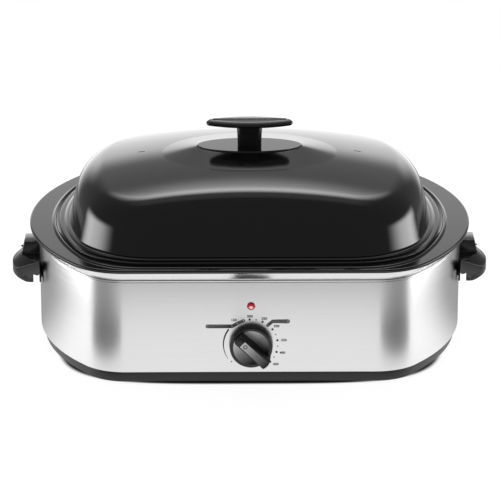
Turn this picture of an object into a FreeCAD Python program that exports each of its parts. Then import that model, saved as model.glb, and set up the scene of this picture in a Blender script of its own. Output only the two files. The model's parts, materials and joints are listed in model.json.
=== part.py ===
"""Electric roaster oven: stainless wrap, hanging well, lift-out pan and rack, lift-off domed lid.

Lengths are millimetres, +Z is up and the control knob faces -Y.  The body is laid out about its own
middle; every solid is then moved along Y by frame_shift, so that the origin is the middle of the whole
footprint at the level the feet stand on.
"""
import FreeCAD, Part
import math
import os

V = FreeCAD.Vector

# Driving sizes of the body
wrap_half_width = 261.5
wrap_half_depth = 197.0
wrap_flat = 150.0
wrap_end_radius = 272.0
wrap_bottom = 16.5
wrap_top = 131.0
wrap_sheet = 0.8
wrap_hem = 8.0

# Driving sizes of the base tray and the feet
tray_inset = 5.0
tray_bottom = 2.0
tray_wall = 2.5
tray_floor = 2.5
tray_step = 1.6
tray_spigot_height = 6.0
tray_wire_notch = 26.0
foot_radius = 9.0
foot_stem_radius = 3.5
foot_stem_height = 5.0
foot_spacing_x = 380.0
foot_spacing_y = 270.0

# Driving sizes of the pan
flange_half_width = 272.5
flange_half_depth = 205.0
flange_flat = 149.0
flange_end_radius = 283.0
pan_sheet = 1.2
pan_seat = 147.0
pan_lip_drop = 3.0
pan_lip_wall = 2.2
pan_lip_round = 1.2
bead_half_width = 242.0
bead_half_depth = 198.6
bead_flat = 130.0
bead_end_radius = 330.0
bead_radius = 2.0
pan_half_width = 226.0
pan_half_depth = 173.0
pan_flat = 115.0
pan_end_radius = 352.0
pan_depth = 115.0
pan_draft = 4.0
pan_fillet = 20.0

# Driving sizes of the collar and the well
collar_sheet = 1.2
collar_bead_height = 2.6
collar_bead_proud = 0.8
collar_groove_height = 1.0
collar_groove_depth = 0.8
collar_top_inset = 4.0
collar_lip_drop = 4.0
collar_ledge_width = 4.0
collar_crown_height = 2.0
collar_bead_round = 1.1
collar_groove_overlap = 0.6
well_clearance = 8.0
well_clearance_depth = 5.0
well_sheet = 1.0
well_floor_gap = 3.0
well_fillet = 16.0
well_flange_reach = 7.0

# Driving sizes of the lid
lid_sheet = 1.2
lid_rim_half_width = 236.0
lid_rim_half_depth = 186.0
lid_rim_flat = 122.0
lid_rim_end_radius = 340.0
lid_rim_height = 4.8
lid_rim_round = 1.2
dome_half_width = 223.0
dome_half_depth = 170.0
dome_flat = 115.0
dome_end_radius = 350.0
dome_draft = 14.0
dome_height = 83.0
dome_crown_x = 1100.0
dome_crown_y = 900.0
dome_shoulder = 45.0
emboss_width = 46.5
emboss_height = 8.0
emboss_rise = 2.3
disc_half_x = 65.0
disc_half_y = 30.0
disc_end_radius = 18.0
disc_step = 1.7
disc_chamfer = 0.8
vent_length = 9.0
vent_width = 1.6
vent_x = 134.0
vent_y = 15.0

# Heights of the dome's contours below its top: round the shoulder, then up the crown
dome_shoulder_drops = (48.0, 34.0, 21.0)
dome_crown_drops = (10.0, 4.0)
dome_top_flat_share = 0.4
dome_top_end_share = 1.25

# Driving sizes of the lid knob
grip_half_x = 53.5
grip_half_y = 16.5
grip_edge = 4.2
grip_crown = 2.6
grip_edge_round = 3.0
grip_edge_lean = 0.8
grip_top = 33.0
grip_crown_edge = 4.0
grip_crown_rise = 1.0
grip_crown_flat = 10.0
grip_end_radius = 12.0
stem_half_x = 16.0
stem_half_y = 10.5
stem_end_radius = 6.5
stem_waist = 1.3
lid_screw_radius = 2.0
lid_screw_bite = 14.0
lid_screw_head_radius = 4.5
lid_screw_head_height = 2.6
lid_washer_radius = 9.0
lid_washer_thickness = 1.0

# Driving sizes of the control knob, its scale centre and the lamp
knob_height = 52.0
knob_radius = 25.3
knob_standoff = 1.2
knob_depth = 11.0
knob_skirt_taper = 0.8
knob_skirt_chamfer = 1.4
knob_wall = 3.0
knob_dish_radius = 21.0
knob_dish_depth = 1.6
grip_bar_height = 15.0
grip_bar_base = 16.0
grip_bar_front = 11.5
grip_bar_back_reach = 21.0
grip_bar_tip_reach = 25.5
grip_bar_chamfer = 0.9
pointer_angle = -44.0
inlay_width = 8.7
inlay_depth = 1.0
inlay_end_gap = 1.2
lamp_height = 100.6
lamp_radius = 5.0
lamp_dome = 2.8
lamp_hole_radius = 4.2
lamp_body_radius = 4.0
lamp_body_length = 13.0

# Driving sizes of the thermostat
shaft_radius = 3.0
shaft_running_gap = 0.05
shaft_flat = 1.0
shaft_front_depth = 12.0
shaft_hole_gap = 1.0
thermostat_width = 30.0
thermostat_height = 30.0
thermostat_depth = 14.0
thermostat_corner = 3.0
thermostat_back = 3.0
shaft_end_gap = 0.5
bracket_width = 50.0
bracket_height = 24.0
bracket_corner = 4.0
bracket_sheet = 1.2
bracket_screw_spacing = 38.0
small_screw_radius = 1.5
small_screw_head = 3.0
small_screw_head_height = 1.0
small_screw_bite = 3.0
bulb_radius = 2.4
bulb_length = 60.0
capillary_radius = 0.9
capillary_length = 22.0
bulb_above_shaft = 8.0

# Driving sizes of the heating element, its clips and the shield
element_height = 84.0
element_radius = 3.2
element_gap = 2.0
element_tail_spacing = 34.0
element_tail_bend = 12.0
element_tail_drop = 24.0
terminal_radius = 4.6
terminal_length = 12.0
clip_width = 12.0
clip_height = 16.0
clip_x = 105.0
shield_inset = 7.0
shield_sheet = 0.6
shield_bottom = 74.0
shield_top = 127.0
shield_lamp_gap = 2.0

# Driving sizes of the wiring and the rear cord entry
block_width = 36.0
block_depth = 16.0
block_height = 13.0
block_rear_gap = 16.0
wire_radius = 1.4
wire_spacing = 16.0
wire_bend = 14.0
block_corner = 1.5
block_screw_well = 2.6
block_screw_well_depth = 3.0
cord_entry_x = 60.0
cord_entry_height = 34.0
cord_bore_radius = 3.6
grommet_neck_radius = 6.5
grommet_rim_radius = 9.0
grommet_rim = 2.2

# Driving sizes of the fasteners that tie the well to the tray
post_spacing_x = 300.0
post_spacing_y = 200.0
post_radius = 5.0
base_screw_radius = 2.0
base_screw_head = 4.2
base_screw_head_height = 1.8
base_screw_bite = 10.0

# Driving sizes of the side handles, whose reaches are measured out from the wrap's end
handle_reach = 34.5
handle_nose_radius = 82.0
handle_half_span = 55.0
handle_foot = 80.0
handle_crease = 92.0
handle_shelf = 104.0
handle_shelf_reach = 21.5
handle_shelf_nose_radius = 69.0
handle_shelf_half_span = 45.0
handle_root_depth = 30.0
handle_wall = 2.6
handle_crease_share = 0.6
handle_plate = 3.0
handle_corner = 5.0
handle_block_half = 16.4
handle_block_top = 119.7
handle_block_reach_top = 18.5
handle_block_reach_foot = 22.5
handle_block_root = 6.0
handle_block_chamfer = 1.6
handle_notch_top = 89.0
handle_notch_reach = 5.5
handle_notch_inner = 40.0
handle_notch_outer = 70.0
handle_rib = 1.8
handle_rib_spacing = 24.0
handle_screw_radius = 2.0
handle_screw_head = 4.0
handle_screw_head_height = 2.4
handle_screw_spacing = 18.0
handle_screw_height = 112.0
handle_screw_bite = 12.0

# Driving sizes of the roasting rack
rack_wire = 2.6
rack_bar_wire = 1.7
rack_gap = 14.0
rack_clear = 0.3
rack_foot_height = 14.0
rack_foot_share = 0.72
rack_bar_pitch = 27.0
rack_handle_wire = 2.2
rack_handle_half_span = 58.0
rack_handle_height = 62.0
rack_handle_bend = 14.0

# Clearances
seat_gap = 0.3

# Spans in a rounded edge, and sides of the section of a bent wire, which reads as round at its size
round_spans = 3
wire_sides = 8

# Sizes worked out from the ones above
pan_floor = pan_seat - pan_depth
well_floor = pan_floor - pan_sheet - well_floor_gap
lid_seat = pan_seat + pan_sheet
lid_rim_top = lid_seat + lid_rim_height
dome_top = lid_rim_top + dome_height
disc_top = dome_top + emboss_rise + disc_step
grip_top_z = disc_top + grip_top
grip_crown_z = grip_top_z - grip_crown_rise
knob_front = wrap_half_depth + knob_standoff + knob_depth + grip_bar_height
frame_shift = (knob_front - flange_half_depth) / 2.0
wrap_inner_y = wrap_half_depth - wrap_sheet
tray_floor_top = tray_bottom + tray_floor


class Outline:
    """Plan outline with a flat front and back, tight corner arcs and wide end arcs."""

    def __init__(self, half_width, half_depth, flat, end_radius):
        self.half_width = half_width
        self.half_depth = half_depth
        self.flat = flat
        self.end_radius = end_radius

    def inset(self, gap):
        return Outline(self.half_width - gap, self.half_depth - gap, self.flat, self.end_radius - gap)

    def corner_radius(self):
        offset = self.half_width - self.end_radius - self.flat
        spare = self.end_radius ** 2 - offset ** 2 - self.half_depth ** 2
        return spare / (2.0 * (self.end_radius - self.half_depth))

    def corner_points(self):
        """Start, middle and end of the corner arc in the quarter where x and y are positive."""
        radius = self.corner_radius()
        centre = V(self.flat, self.half_depth - radius, 0)
        end_centre = V(self.half_width - self.end_radius, 0, 0)
        away = (centre - end_centre).normalize()
        start = V(self.flat, self.half_depth, 0)
        end = end_centre + away * self.end_radius
        middle = centre + (away + V(0, 1, 0)).normalize() * radius
        return start, middle, end

    def edges(self, z):
        """Lines and arcs in order round the outline at a height, from the front line's left end."""
        start, middle, end = self.corner_points()

        def at(point, sx, sy):
            return V(point.x * sx, point.y * sy, z)

        return [Part.LineSegment(at(start, -1, -1), at(start, 1, -1)),
                Part.Arc(at(start, 1, -1), at(middle, 1, -1), at(end, 1, -1)),
                Part.Arc(at(end, 1, -1), V(self.half_width, 0, z), at(end, 1, 1)),
                Part.Arc(at(end, 1, 1), at(middle, 1, 1), at(start, 1, 1)),
                Part.LineSegment(at(start, 1, 1), at(start, -1, 1)),
                Part.Arc(at(start, -1, 1), at(middle, -1, 1), at(end, -1, 1)),
                Part.Arc(at(end, -1, 1), V(-self.half_width, 0, z), at(end, -1, -1)),
                Part.Arc(at(end, -1, -1), at(middle, -1, -1), at(start, -1, -1))]

    def wire(self, z):
        return Part.Wire([edge.toShape() for edge in self.edges(z)])

    def prism(self, low, high):
        return Part.Face(self.wire(low)).extrude(V(0, 0, high - low))

    def taper(self, low, other, high):
        return Part.makeLoft([self.wire(low), other.wire(high)], True, True)

    def ring(self, inner, low, high):
        return self.prism(low, high).cut(inner.prism(low - 1.0, high + 1.0))


class Oval:
    """Oval of four tangent arcs."""

    def __init__(self, half_x, half_y, end_radius):
        self.half_x = half_x
        self.half_y = half_y
        self.end_radius = end_radius

    def inset(self, gap):
        return Oval(self.half_x - gap, self.half_y - gap, self.end_radius - gap)

    def wire(self, z):
        end_x = self.half_x - self.end_radius
        spare = end_x ** 2 + self.half_y ** 2 - self.end_radius ** 2
        side_radius = spare / (2.0 * (self.half_y - self.end_radius))
        away = V(end_x, side_radius - self.half_y, 0).normalize()
        join = V(end_x, 0, 0) + away * self.end_radius

        def at(sx, sy):
            return V(join.x * sx, join.y * sy, z)

        arcs = [Part.Arc(at(-1, -1), V(0, -self.half_y, z), at(1, -1)),
                Part.Arc(at(1, -1), V(self.half_x, 0, z), at(1, 1)),
                Part.Arc(at(1, 1), V(0, self.half_y, z), at(-1, 1)),
                Part.Arc(at(-1, 1), V(-self.half_x, 0, z), at(-1, -1))]
        return Part.Wire([arc.toShape() for arc in arcs])


def stack(levels):
    """Solid with ruled walls through outlines at rising heights, given as pairs."""
    return Part.makeLoft([line.wire(z) for line, z in levels], True, True)


def edged_slab(line, low, high, low_round, high_round):
    """Solid slab of an outline with its lower and upper edges taken off."""
    levels = [(line, low + low_round), (line, high - high_round)]
    if low_round > 0:
        levels.insert(0, (line.inset(low_round), low))
    if high_round > 0:
        levels.append((line.inset(high_round), high))
    return stack(levels)


wrap_line = Outline(wrap_half_width, wrap_half_depth, wrap_flat, wrap_end_radius)
tray_line = wrap_line.inset(tray_inset)
flange_line = Outline(flange_half_width, flange_half_depth, flange_flat, flange_end_radius)
bead_line = Outline(bead_half_width, bead_half_depth, bead_flat, bead_end_radius)
pan_top_line = Outline(pan_half_width, pan_half_depth, pan_flat, pan_end_radius)
pan_drawn_in = pan_depth * math.tan(math.radians(pan_draft))
pan_foot_line = pan_top_line.inset(pan_drawn_in)
well_top_line = Outline(pan_half_width + well_clearance, pan_half_depth + well_clearance_depth,
                        pan_flat, pan_end_radius)
well_foot_line = well_top_line.inset(pan_drawn_in)
lid_rim_line = Outline(lid_rim_half_width, lid_rim_half_depth, lid_rim_flat, lid_rim_end_radius)
dome_line = Outline(dome_half_width, dome_half_depth, dome_flat, dome_end_radius)


def rod(radius, start, end):
    """Round bar from start to end."""
    axis = end - start
    return Part.makeCylinder(radius, axis.Length, start, axis)


def box(low, high):
    return Part.makeBox(high.x - low.x, high.y - low.y, high.z - low.z, low)


def tube_along(edges, radius):
    """Bent wire along tangent lines and arcs."""
    path = Part.Wire([edge.toShape() for edge in edges])
    start = path.Edges[0].valueAt(path.Edges[0].FirstParameter)
    heading = path.Edges[0].tangentAt(path.Edges[0].FirstParameter)
    circle = Part.Circle(start, heading, radius)
    corners = [circle.value(2.0 * math.pi * index / wire_sides) for index in range(wire_sides)]
    return path.makePipeShell([Part.makePolygon(corners + corners[:1])], True, False)


def fillet_where(shape, radius, chosen):
    edges = [edge for edge in shape.Edges if chosen(edge)]
    return shape.makeFillet(radius, edges)


def chamfer_where(shape, size, chosen):
    edges = [edge for edge in shape.Edges if chosen(edge)]
    return shape.makeChamfer(size, edges)


def corner_places(spacing_x, spacing_y):
    return [(sx * spacing_x / 2.0, sy * spacing_y / 2.0) for sy in (-1, 1) for sx in (-1, 1)]


def pan_line_at(z, grow):
    """Outline of the pan's wall at a height, grown outward from the inside face."""
    share = (pan_seat - z) / pan_depth
    return pan_top_line.inset(pan_drawn_in * share - grow)


def well_line_at(z):
    """Outline of the well's outside face at a height."""
    share = (pan_seat - z) / (pan_seat - well_floor + well_sheet)
    return well_top_line.inset(pan_drawn_in * share - well_sheet)


def tub(top_line, foot_line, top, foot, radius):
    """Solid drafted tub with a rounded bottom edge."""
    lean = math.atan((top_line.half_width - foot_line.half_width) / (top - foot))
    tangent = radius * (1.0 - math.sin(lean)) / math.cos(lean)
    levels = []
    for index in range(round_spans + 1):
        angle = (math.pi / 2.0 - lean) * index / round_spans
        height = foot + radius * (1.0 - math.cos(angle))
        levels.append((foot_line.inset(tangent - radius * math.sin(angle)), height))
    levels.append((top_line, top))
    return stack(levels)


# Body shell


def make_outer_wrap():
    inner = wrap_line.inset(wrap_sheet)
    hem = wrap_line.inset(wrap_hem + wrap_sheet)
    wrap = wrap_line.ring(inner, wrap_bottom, wrap_top)
    wrap = wrap.fuse([inner.ring(hem, wrap_bottom, wrap_bottom + wrap_sheet),
                      inner.ring(hem, wrap_top - wrap_sheet, wrap_top)])
    front_out = V(0, -wrap_half_depth - 1.0, 0)
    front_in = V(0, -wrap_inner_y + 1.0, 0)
    holes = []
    for height, radius in ((knob_height, shaft_radius + shaft_hole_gap), (lamp_height, lamp_hole_radius)):
        lift = V(0, 0, height)
        holes.append(rod(radius, front_out + lift, front_in + lift))
    for x in (-bracket_screw_spacing / 2.0, bracket_screw_spacing / 2.0):
        side = V(x, 0, knob_height)
        holes.append(rod(small_screw_radius, front_out + side, front_in + side))
    entry = V(cord_entry_x, wrap_inner_y - 1.0, cord_entry_height)
    holes.append(rod(grommet_neck_radius, entry, entry + V(0, wrap_sheet + 2.0, 0)))
    for start, end in handle_screw_lines():
        holes.append(rod(handle_screw_radius, start, end))
    return wrap.cut(holes).removeSplitter()


def make_rim_collar():
    top_line = flange_line.inset(collar_top_inset)
    bead_top = wrap_top + collar_bead_height
    band_foot = bead_top + collar_groove_height
    band_top = pan_seat - collar_crown_height
    bead_line_out = wrap_line.inset(-collar_bead_proud)
    bead = edged_slab(bead_line_out, wrap_top, bead_top, collar_bead_round, collar_bead_round)
    groove = wrap_line.inset(collar_groove_depth).prism(bead_top - collar_groove_overlap,
                                                        band_foot + collar_groove_overlap)
    band = wrap_line.inset(-collar_bead_proud * 0.5).taper(band_foot, top_line, band_top)
    crown = top_line.prism(band_top, pan_seat)
    outside = bead.fuse([groove, band, crown])

    hollow_line = wrap_line.inset(collar_sheet + collar_groove_depth)
    hollow = hollow_line.prism(wrap_top - 1.0, band_foot)
    hollow = hollow.fuse(hollow_line.taper(band_foot, top_line.inset(collar_sheet), band_top))
    hollow = hollow.fuse(top_line.inset(collar_sheet).prism(band_top, pan_seat - collar_sheet))
    seat_line = well_flange_line().inset(-seat_gap)
    lip_line = seat_line.inset(-collar_sheet)
    opening = seat_line.prism(wrap_top - 2.0, pan_seat + 1.0)
    lip = lip_line.ring(seat_line, pan_seat - collar_lip_drop, pan_seat)
    ledge_inner = seat_line.inset(collar_ledge_width)
    ledge_top = pan_seat - well_sheet
    ledge = lip_line.ring(ledge_inner, ledge_top - collar_sheet, ledge_top)
    return outside.cut([hollow, opening]).fuse([lip, ledge]).removeSplitter()


def well_flange_line():
    return well_top_line.inset(-well_flange_reach)


def make_heating_well():
    outer = tub(well_top_line.inset(-well_sheet), well_foot_line.inset(-well_sheet),
                pan_seat, well_floor - well_sheet, well_fillet)
    inner = tub(well_top_line, well_foot_line, pan_seat, well_floor, well_fillet - well_sheet)
    flange = well_flange_line().prism(pan_seat - well_sheet, pan_seat)
    return outer.fuse(flange).cut(inner).removeSplitter()


def make_base_tray():
    wall = tray_line.ring(tray_line.inset(tray_wall), tray_bottom, wrap_bottom)
    floor = tray_line.prism(tray_bottom, tray_floor_top)
    spigot_line = wrap_line.inset(wrap_hem + wrap_sheet + seat_gap)
    spigot = spigot_line.ring(spigot_line.inset(tray_wall), tray_bottom, wrap_bottom + tray_spigot_height)
    tray = wall.fuse([floor, spigot])
    step = tray_line.inset(-1.0).ring(tray_line.inset(tray_step), tray_bottom - 1.0, tray_bottom + tray_step)
    passage = box(V(-tray_wire_notch / 2.0, -tray_line.half_depth + tray_wall, tray_floor_top),
                  V(tray_wire_notch / 2.0, 0, wrap_bottom + tray_spigot_height + 1.0))
    tray = tray.cut([step, passage.cut(wrap_line.inset(20.0).prism(0, wrap_top))])
    cuts = [Part.makeCylinder(foot_stem_radius, tray_floor + 2.0, V(x, y, tray_bottom - 1.0))
            for x, y in corner_places(foot_spacing_x, foot_spacing_y)]
    for x, y in corner_places(post_spacing_x, post_spacing_y):
        cuts.append(Part.makeCylinder(base_screw_radius, tray_floor + 2.0, V(x, y, tray_bottom - 1.0)))
    return tray.cut(cuts).removeSplitter()


def make_foot(x, y):
    pad = Part.makeCylinder(foot_radius, tray_bottom, V(x, y, 0))
    stem = Part.makeCylinder(foot_stem_radius, foot_stem_height, V(x, y, 0))
    return pad.fuse(stem).removeSplitter()


def make_tie_posts():
    height = well_floor - well_sheet - tray_floor_top
    posts = []
    for x, y in corner_places(post_spacing_x, post_spacing_y):
        foot = V(x, y, tray_floor_top)
        post = Part.makeCylinder(post_radius, height, foot)
        posts.append(post.cut(Part.makeCylinder(base_screw_radius, base_screw_bite, foot)))
    return Part.makeCompound(posts)


def make_base_screws():
    screws = []
    for x, y in corner_places(post_spacing_x, post_spacing_y):
        shank = Part.makeCylinder(base_screw_radius, tray_floor + base_screw_bite, V(x, y, tray_bottom))
        head = Part.makeCylinder(base_screw_head, base_screw_head_height,
                                 V(x, y, tray_bottom - base_screw_head_height))
        screws.append(shank.fuse(head).removeSplitter())
    return Part.makeCompound(screws)


# Side handles


def handle_plan(reach, nose_radius, half_span, z):
    """Plan of a handle on the -X side: a bowed nose with straight cheeks back into the body."""
    nose_x = -wrap_half_width - reach
    cheek_x = nose_x + nose_radius - math.sqrt(nose_radius ** 2 - half_span ** 2)
    root_x = -wrap_half_width + handle_root_depth
    edges = [Part.Arc(V(cheek_x, -half_span, z), V(nose_x, 0, z), V(cheek_x, half_span, z)),
             Part.LineSegment(V(cheek_x, half_span, z), V(root_x, half_span, z)),
             Part.LineSegment(V(root_x, half_span, z), V(root_x, -half_span, z)),
             Part.LineSegment(V(root_x, -half_span, z), V(cheek_x, -half_span, z))]
    return Part.Wire([edge.toShape() for edge in edges])


def handle_lug(gap):
    """Solid lug, drawn in by a gap for its hollow: upright wall below a sloping shelf."""
    foot_drop = 1.0 if gap > 0 else 0.0
    crease = handle_crease - gap * handle_crease_share
    foot = handle_foot - foot_drop
    low = handle_plan(handle_reach - gap, handle_nose_radius - gap, handle_half_span - gap, foot)
    wall = Part.Face(low).extrude(V(0, 0, crease - foot))
    middle = handle_plan(handle_reach - gap, handle_nose_radius - gap, handle_half_span - gap, crease)
    top = handle_plan(handle_shelf_reach - gap, handle_shelf_nose_radius - gap, handle_shelf_half_span - gap,
                      handle_shelf - gap)
    shelf = Part.makeLoft([middle, top], True, True)
    return wall.fuse(shelf).removeSplitter()


def make_side_handle(side):
    """Moulded lug with a raised mounting block and a finger channel open below."""
    lug = handle_lug(0.0)
    lug = fillet_where(lug, handle_corner, lambda edge: edge.BoundBox.ZLength > 5.0
                       and edge.BoundBox.XMin < -wrap_half_width and abs(edge.CenterOfMass.y) > 1.0)
    inboard = wrap_line.inset(-handle_plate).prism(handle_foot - 5.0, handle_shelf)
    hollow = handle_lug(handle_wall).cut(inboard)
    lug = lug.cut(hollow)
    root_x = -wrap_half_width + handle_root_depth
    corners = [V(root_x, -handle_block_half, handle_shelf - handle_block_root),
               V(-wrap_half_width - handle_block_reach_foot, -handle_block_half, handle_shelf - 1.0),
               V(-wrap_half_width - handle_block_reach_top, -handle_block_half, handle_block_top),
               V(root_x, -handle_block_half, handle_block_top)]
    block = Part.Face(Part.makePolygon(corners + corners[:1])).extrude(V(0, 2.0 * handle_block_half, 0))
    block = chamfer_where(block, handle_block_chamfer, lambda edge: edge.CenterOfMass.x < root_x - 1.0
                          and edge.CenterOfMass.z > handle_shelf)
    parts = [block]
    for y in (-handle_rib_spacing, 0.0, handle_rib_spacing):
        reach = math.sqrt((handle_nose_radius - handle_wall * 0.5) ** 2 - y ** 2)
        rib = box(V(handle_nose_radius - wrap_half_width - handle_reach - reach, y - handle_rib / 2.0,
                    handle_crease + 2.0),
                  V(root_x, y + handle_rib / 2.0, handle_shelf - handle_wall * 0.5))
        parts.append(rib.common(handle_lug(handle_wall * 0.5)))
    handle = lug.fuse(parts)
    cuts = [wrap_line.prism(handle_foot - 5.0, handle_block_top + 5.0)]
    for end in (-1, 1):
        near, far = sorted((end * handle_notch_inner, end * handle_notch_outer))
        notch = box(V(-wrap_half_width - handle_notch_reach, near, handle_foot - 1.0),
                    V(root_x, far, handle_notch_top))
        cuts.append(notch.cut(inboard))
    for start, end in handle_screw_lines()[:2]:
        cuts.append(rod(handle_screw_radius, start, end))
    handle = handle.cut(cuts).removeSplitter()
    if side > 0:
        handle = handle.mirror(V(0, 0, 0), V(1, 0, 0))
    return handle


def handle_screw_lines():
    """Start and end of each handle screw's shank, the left pair first."""
    lines = []
    for side in (-1, 1):
        for y in (-handle_screw_spacing / 2.0, handle_screw_spacing / 2.0):
            head_edge = abs(y) + handle_screw_head
            inner_x = wrap_half_width - wrap_sheet - head_edge ** 2 / (2.0 * wrap_end_radius)
            start = V(side * (inner_x - 0.02), y, handle_screw_height)
            lines.append((start, V(side * (inner_x + handle_screw_bite), y, handle_screw_height)))
    return lines


def make_handle_screws():
    screws = []
    for start, end in handle_screw_lines():
        away = (start - end).normalize()
        shank = rod(handle_screw_radius, start, end)
        head = rod(handle_screw_head, start, start + away * handle_screw_head_height)
        screws.append(shank.fuse(head).removeSplitter())
    return Part.makeCompound(screws)


# Lamp, thermostat and control knob


def make_lamp_lens():
    """Domed lens with a neck through the wrap."""
    ball_radius = (lamp_radius ** 2 + lamp_dome ** 2) / (2.0 * lamp_dome)
    opening = math.asin(lamp_radius / ball_radius)
    ball_y = -wrap_half_depth + ball_radius - lamp_dome
    profile = [V(0, -wrap_half_depth, 0)]
    for index in range(round_spans + 1):
        angle = opening * (1.0 - index / round_spans)
        profile.append(V(ball_radius * math.sin(angle), ball_y - ball_radius * math.cos(angle), 0))
    cap = Part.Face(Part.makePolygon(profile + profile[:1])).revolve(V(0, 0, 0), V(0, 1, 0), 360.0)
    cap.translate(V(0, 0, lamp_height))
    front = V(0, -wrap_half_depth, lamp_height)
    neck = rod(lamp_hole_radius, front, front + V(0, wrap_sheet, 0))
    return cap.fuse(neck).removeSplitter()


def make_lamp_body():
    start = V(0, -wrap_inner_y, lamp_height)
    return rod(lamp_body_radius, start, start + V(0, lamp_body_length, 0))


def make_lamp_clip():
    start = V(0, -wrap_inner_y, lamp_height)
    washer = rod(lamp_body_radius + 3.0, start, start + V(0, 1.0, 0))
    return washer.cut(rod(lamp_body_radius, start, start + V(0, 2.0, 0)))


def make_thermostat_bracket():
    half_x = bracket_width / 2.0
    half_z = bracket_height / 2.0
    plate = box(V(-half_x, -wrap_inner_y, knob_height - half_z),
                V(half_x, -wrap_inner_y + bracket_sheet, knob_height + half_z))
    plate = fillet_where(plate, bracket_corner, lambda edge: edge.BoundBox.YLength > bracket_sheet - 0.1
                         and edge.BoundBox.XLength < 0.01 and edge.BoundBox.ZLength < 0.01)
    axis = V(0, -wrap_inner_y - 1.0, knob_height)
    holes = [rod(shaft_radius + shaft_hole_gap, axis, axis + V(0, 5.0, 0))]
    for x in (-bracket_screw_spacing / 2.0, bracket_screw_spacing / 2.0):
        holes.append(rod(small_screw_radius, axis + V(x, 0, 0), axis + V(x, 5.0, 0)))
    return plate.cut(holes)


def make_thermostat_screws():
    screws = []
    for x in (-bracket_screw_spacing / 2.0, bracket_screw_spacing / 2.0):
        front = V(x, -wrap_half_depth, knob_height)
        shank = rod(small_screw_radius, front, front + V(0, wrap_sheet + bracket_sheet + small_screw_bite, 0))
        head = rod(small_screw_head, front, front - V(0, small_screw_head_height, 0))
        screws.append(shank.fuse(head).removeSplitter())
    return Part.makeCompound(screws)


def make_thermostat_body():
    front_y = -wrap_inner_y + bracket_sheet
    base = box(V(-thermostat_width / 2.0, front_y, knob_height - thermostat_height / 2.0),
               V(thermostat_width / 2.0, front_y + thermostat_depth, knob_height + thermostat_height / 2.0))
    base = fillet_where(base, thermostat_corner, lambda edge: edge.BoundBox.YLength > 1.0)
    bush = rod(shaft_radius + shaft_running_gap, V(0, front_y, knob_height),
               V(0, front_y + thermostat_depth - thermostat_back, knob_height))
    return base.cut(bush)


def make_sensing_bulb():
    z = knob_height + bulb_above_shaft
    start = V(thermostat_width / 2.0, -(well_line_at(z).half_depth + bulb_radius + seat_gap), z)
    joint = start + V(capillary_length, 0, 0)
    capillary = rod(capillary_radius, start, joint)
    bulb = rod(bulb_radius, joint, joint + V(bulb_length, 0, 0))
    return capillary.fuse(bulb).removeSplitter()


def make_thermostat_shaft():
    back_y = -wrap_inner_y + bracket_sheet + thermostat_depth - thermostat_back - shaft_end_gap
    front_y = -wrap_half_depth - knob_standoff - shaft_front_depth
    shaft = rod(shaft_radius, V(0, back_y, 0), V(0, front_y, 0))
    flat = box(V(-shaft_radius, front_y - 1.0, shaft_radius - shaft_flat),
               V(shaft_radius, -wrap_half_depth - knob_standoff, shaft_radius))
    return to_pointer(shaft.cut(flat))


def to_pointer(shape):
    """Turn a shape made about the Y axis to the pointer's angle and lift it to the knob's height."""
    turned = shape.copy()
    turned.rotate(V(0, 0, 0), V(0, 1, 0), -pointer_angle)
    turned.translate(V(0, 0, knob_height))
    return turned


def bar_section(half_base, half_front, y_base, y_front, x):
    """Trapezoid across the grip bar at a place along it, before it is turned to the pointer's angle."""
    corners = [V(x, y_base, -half_base), V(x, y_base, half_base),
               V(x, y_front, half_front), V(x, y_front, -half_front)]
    return Part.makePolygon(corners + corners[:1])


def make_knob_parts():
    """Knob with a dished face, a tapered grip bar and a recess, and the inlay that fills the recess."""
    back_y = -wrap_half_depth - knob_standoff
    disc_y = back_y - knob_depth
    front_y = disc_y - grip_bar_height
    skirt = Part.makeCone(knob_radius, knob_radius - knob_skirt_taper, knob_depth, V(0, back_y, 0),
                          V(0, -1, 0))
    skirt = chamfer_where(skirt, knob_skirt_chamfer, lambda edge: edge.BoundBox.YMax < disc_y + 0.01
                          and edge.BoundBox.XLength > knob_radius)
    ball_radius = (knob_dish_radius ** 2 + knob_dish_depth ** 2) / (2.0 * knob_dish_depth)
    dish = Part.makeSphere(ball_radius, V(0, disc_y - ball_radius + knob_dish_depth, 0))
    skirt = skirt.cut(dish)
    root_y = disc_y + knob_dish_depth + 0.5
    bar = Part.makeLoft([bar_section(grip_bar_base / 2.0, grip_bar_front / 2.0, root_y, front_y, x)
                         for x in (-grip_bar_back_reach, grip_bar_tip_reach)], True, True)
    bar = bar.common(rod(grip_bar_tip_reach, V(0, root_y + 1.0, 0), V(0, front_y - 1.0, 0)))
    bar = chamfer_where(bar, grip_bar_chamfer, lambda edge: edge.BoundBox.YMax < front_y + 0.01)
    knob = skirt.fuse(bar)
    hollow_y = disc_y + knob_wall + knob_dish_depth
    hollow = rod(knob_radius - knob_wall, V(0, back_y + 1.0, 0), V(0, hollow_y, 0))
    hub = rod(shaft_radius + knob_wall, V(0, back_y, 0), V(0, disc_y + knob_wall, 0))
    socket_depth = shaft_front_depth
    socket = rod(shaft_radius, V(0, back_y + 1.0, 0), V(0, back_y - socket_depth, 0))
    key = box(V(-shaft_radius, back_y - socket_depth, shaft_radius - shaft_flat),
              V(shaft_radius, back_y + 2.0, shaft_radius))
    knob = knob.cut(hollow).fuse(hub).cut(socket.cut(key))
    inlay = box(V(-grip_bar_back_reach * 0.5, front_y, -inlay_width / 2.0),
                V(grip_bar_tip_reach - inlay_end_gap, front_y + inlay_depth, inlay_width / 2.0))
    inlay = inlay.common(rod(grip_bar_tip_reach - inlay_end_gap, V(0, root_y, 0), V(0, front_y - 1.0, 0)))
    knob = knob.cut(inlay).removeSplitter()
    return to_pointer(knob), to_pointer(inlay)


# Heating element, shield and wiring


def element_line():
    return well_line_at(element_height).inset(-(element_radius + element_gap))


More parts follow.
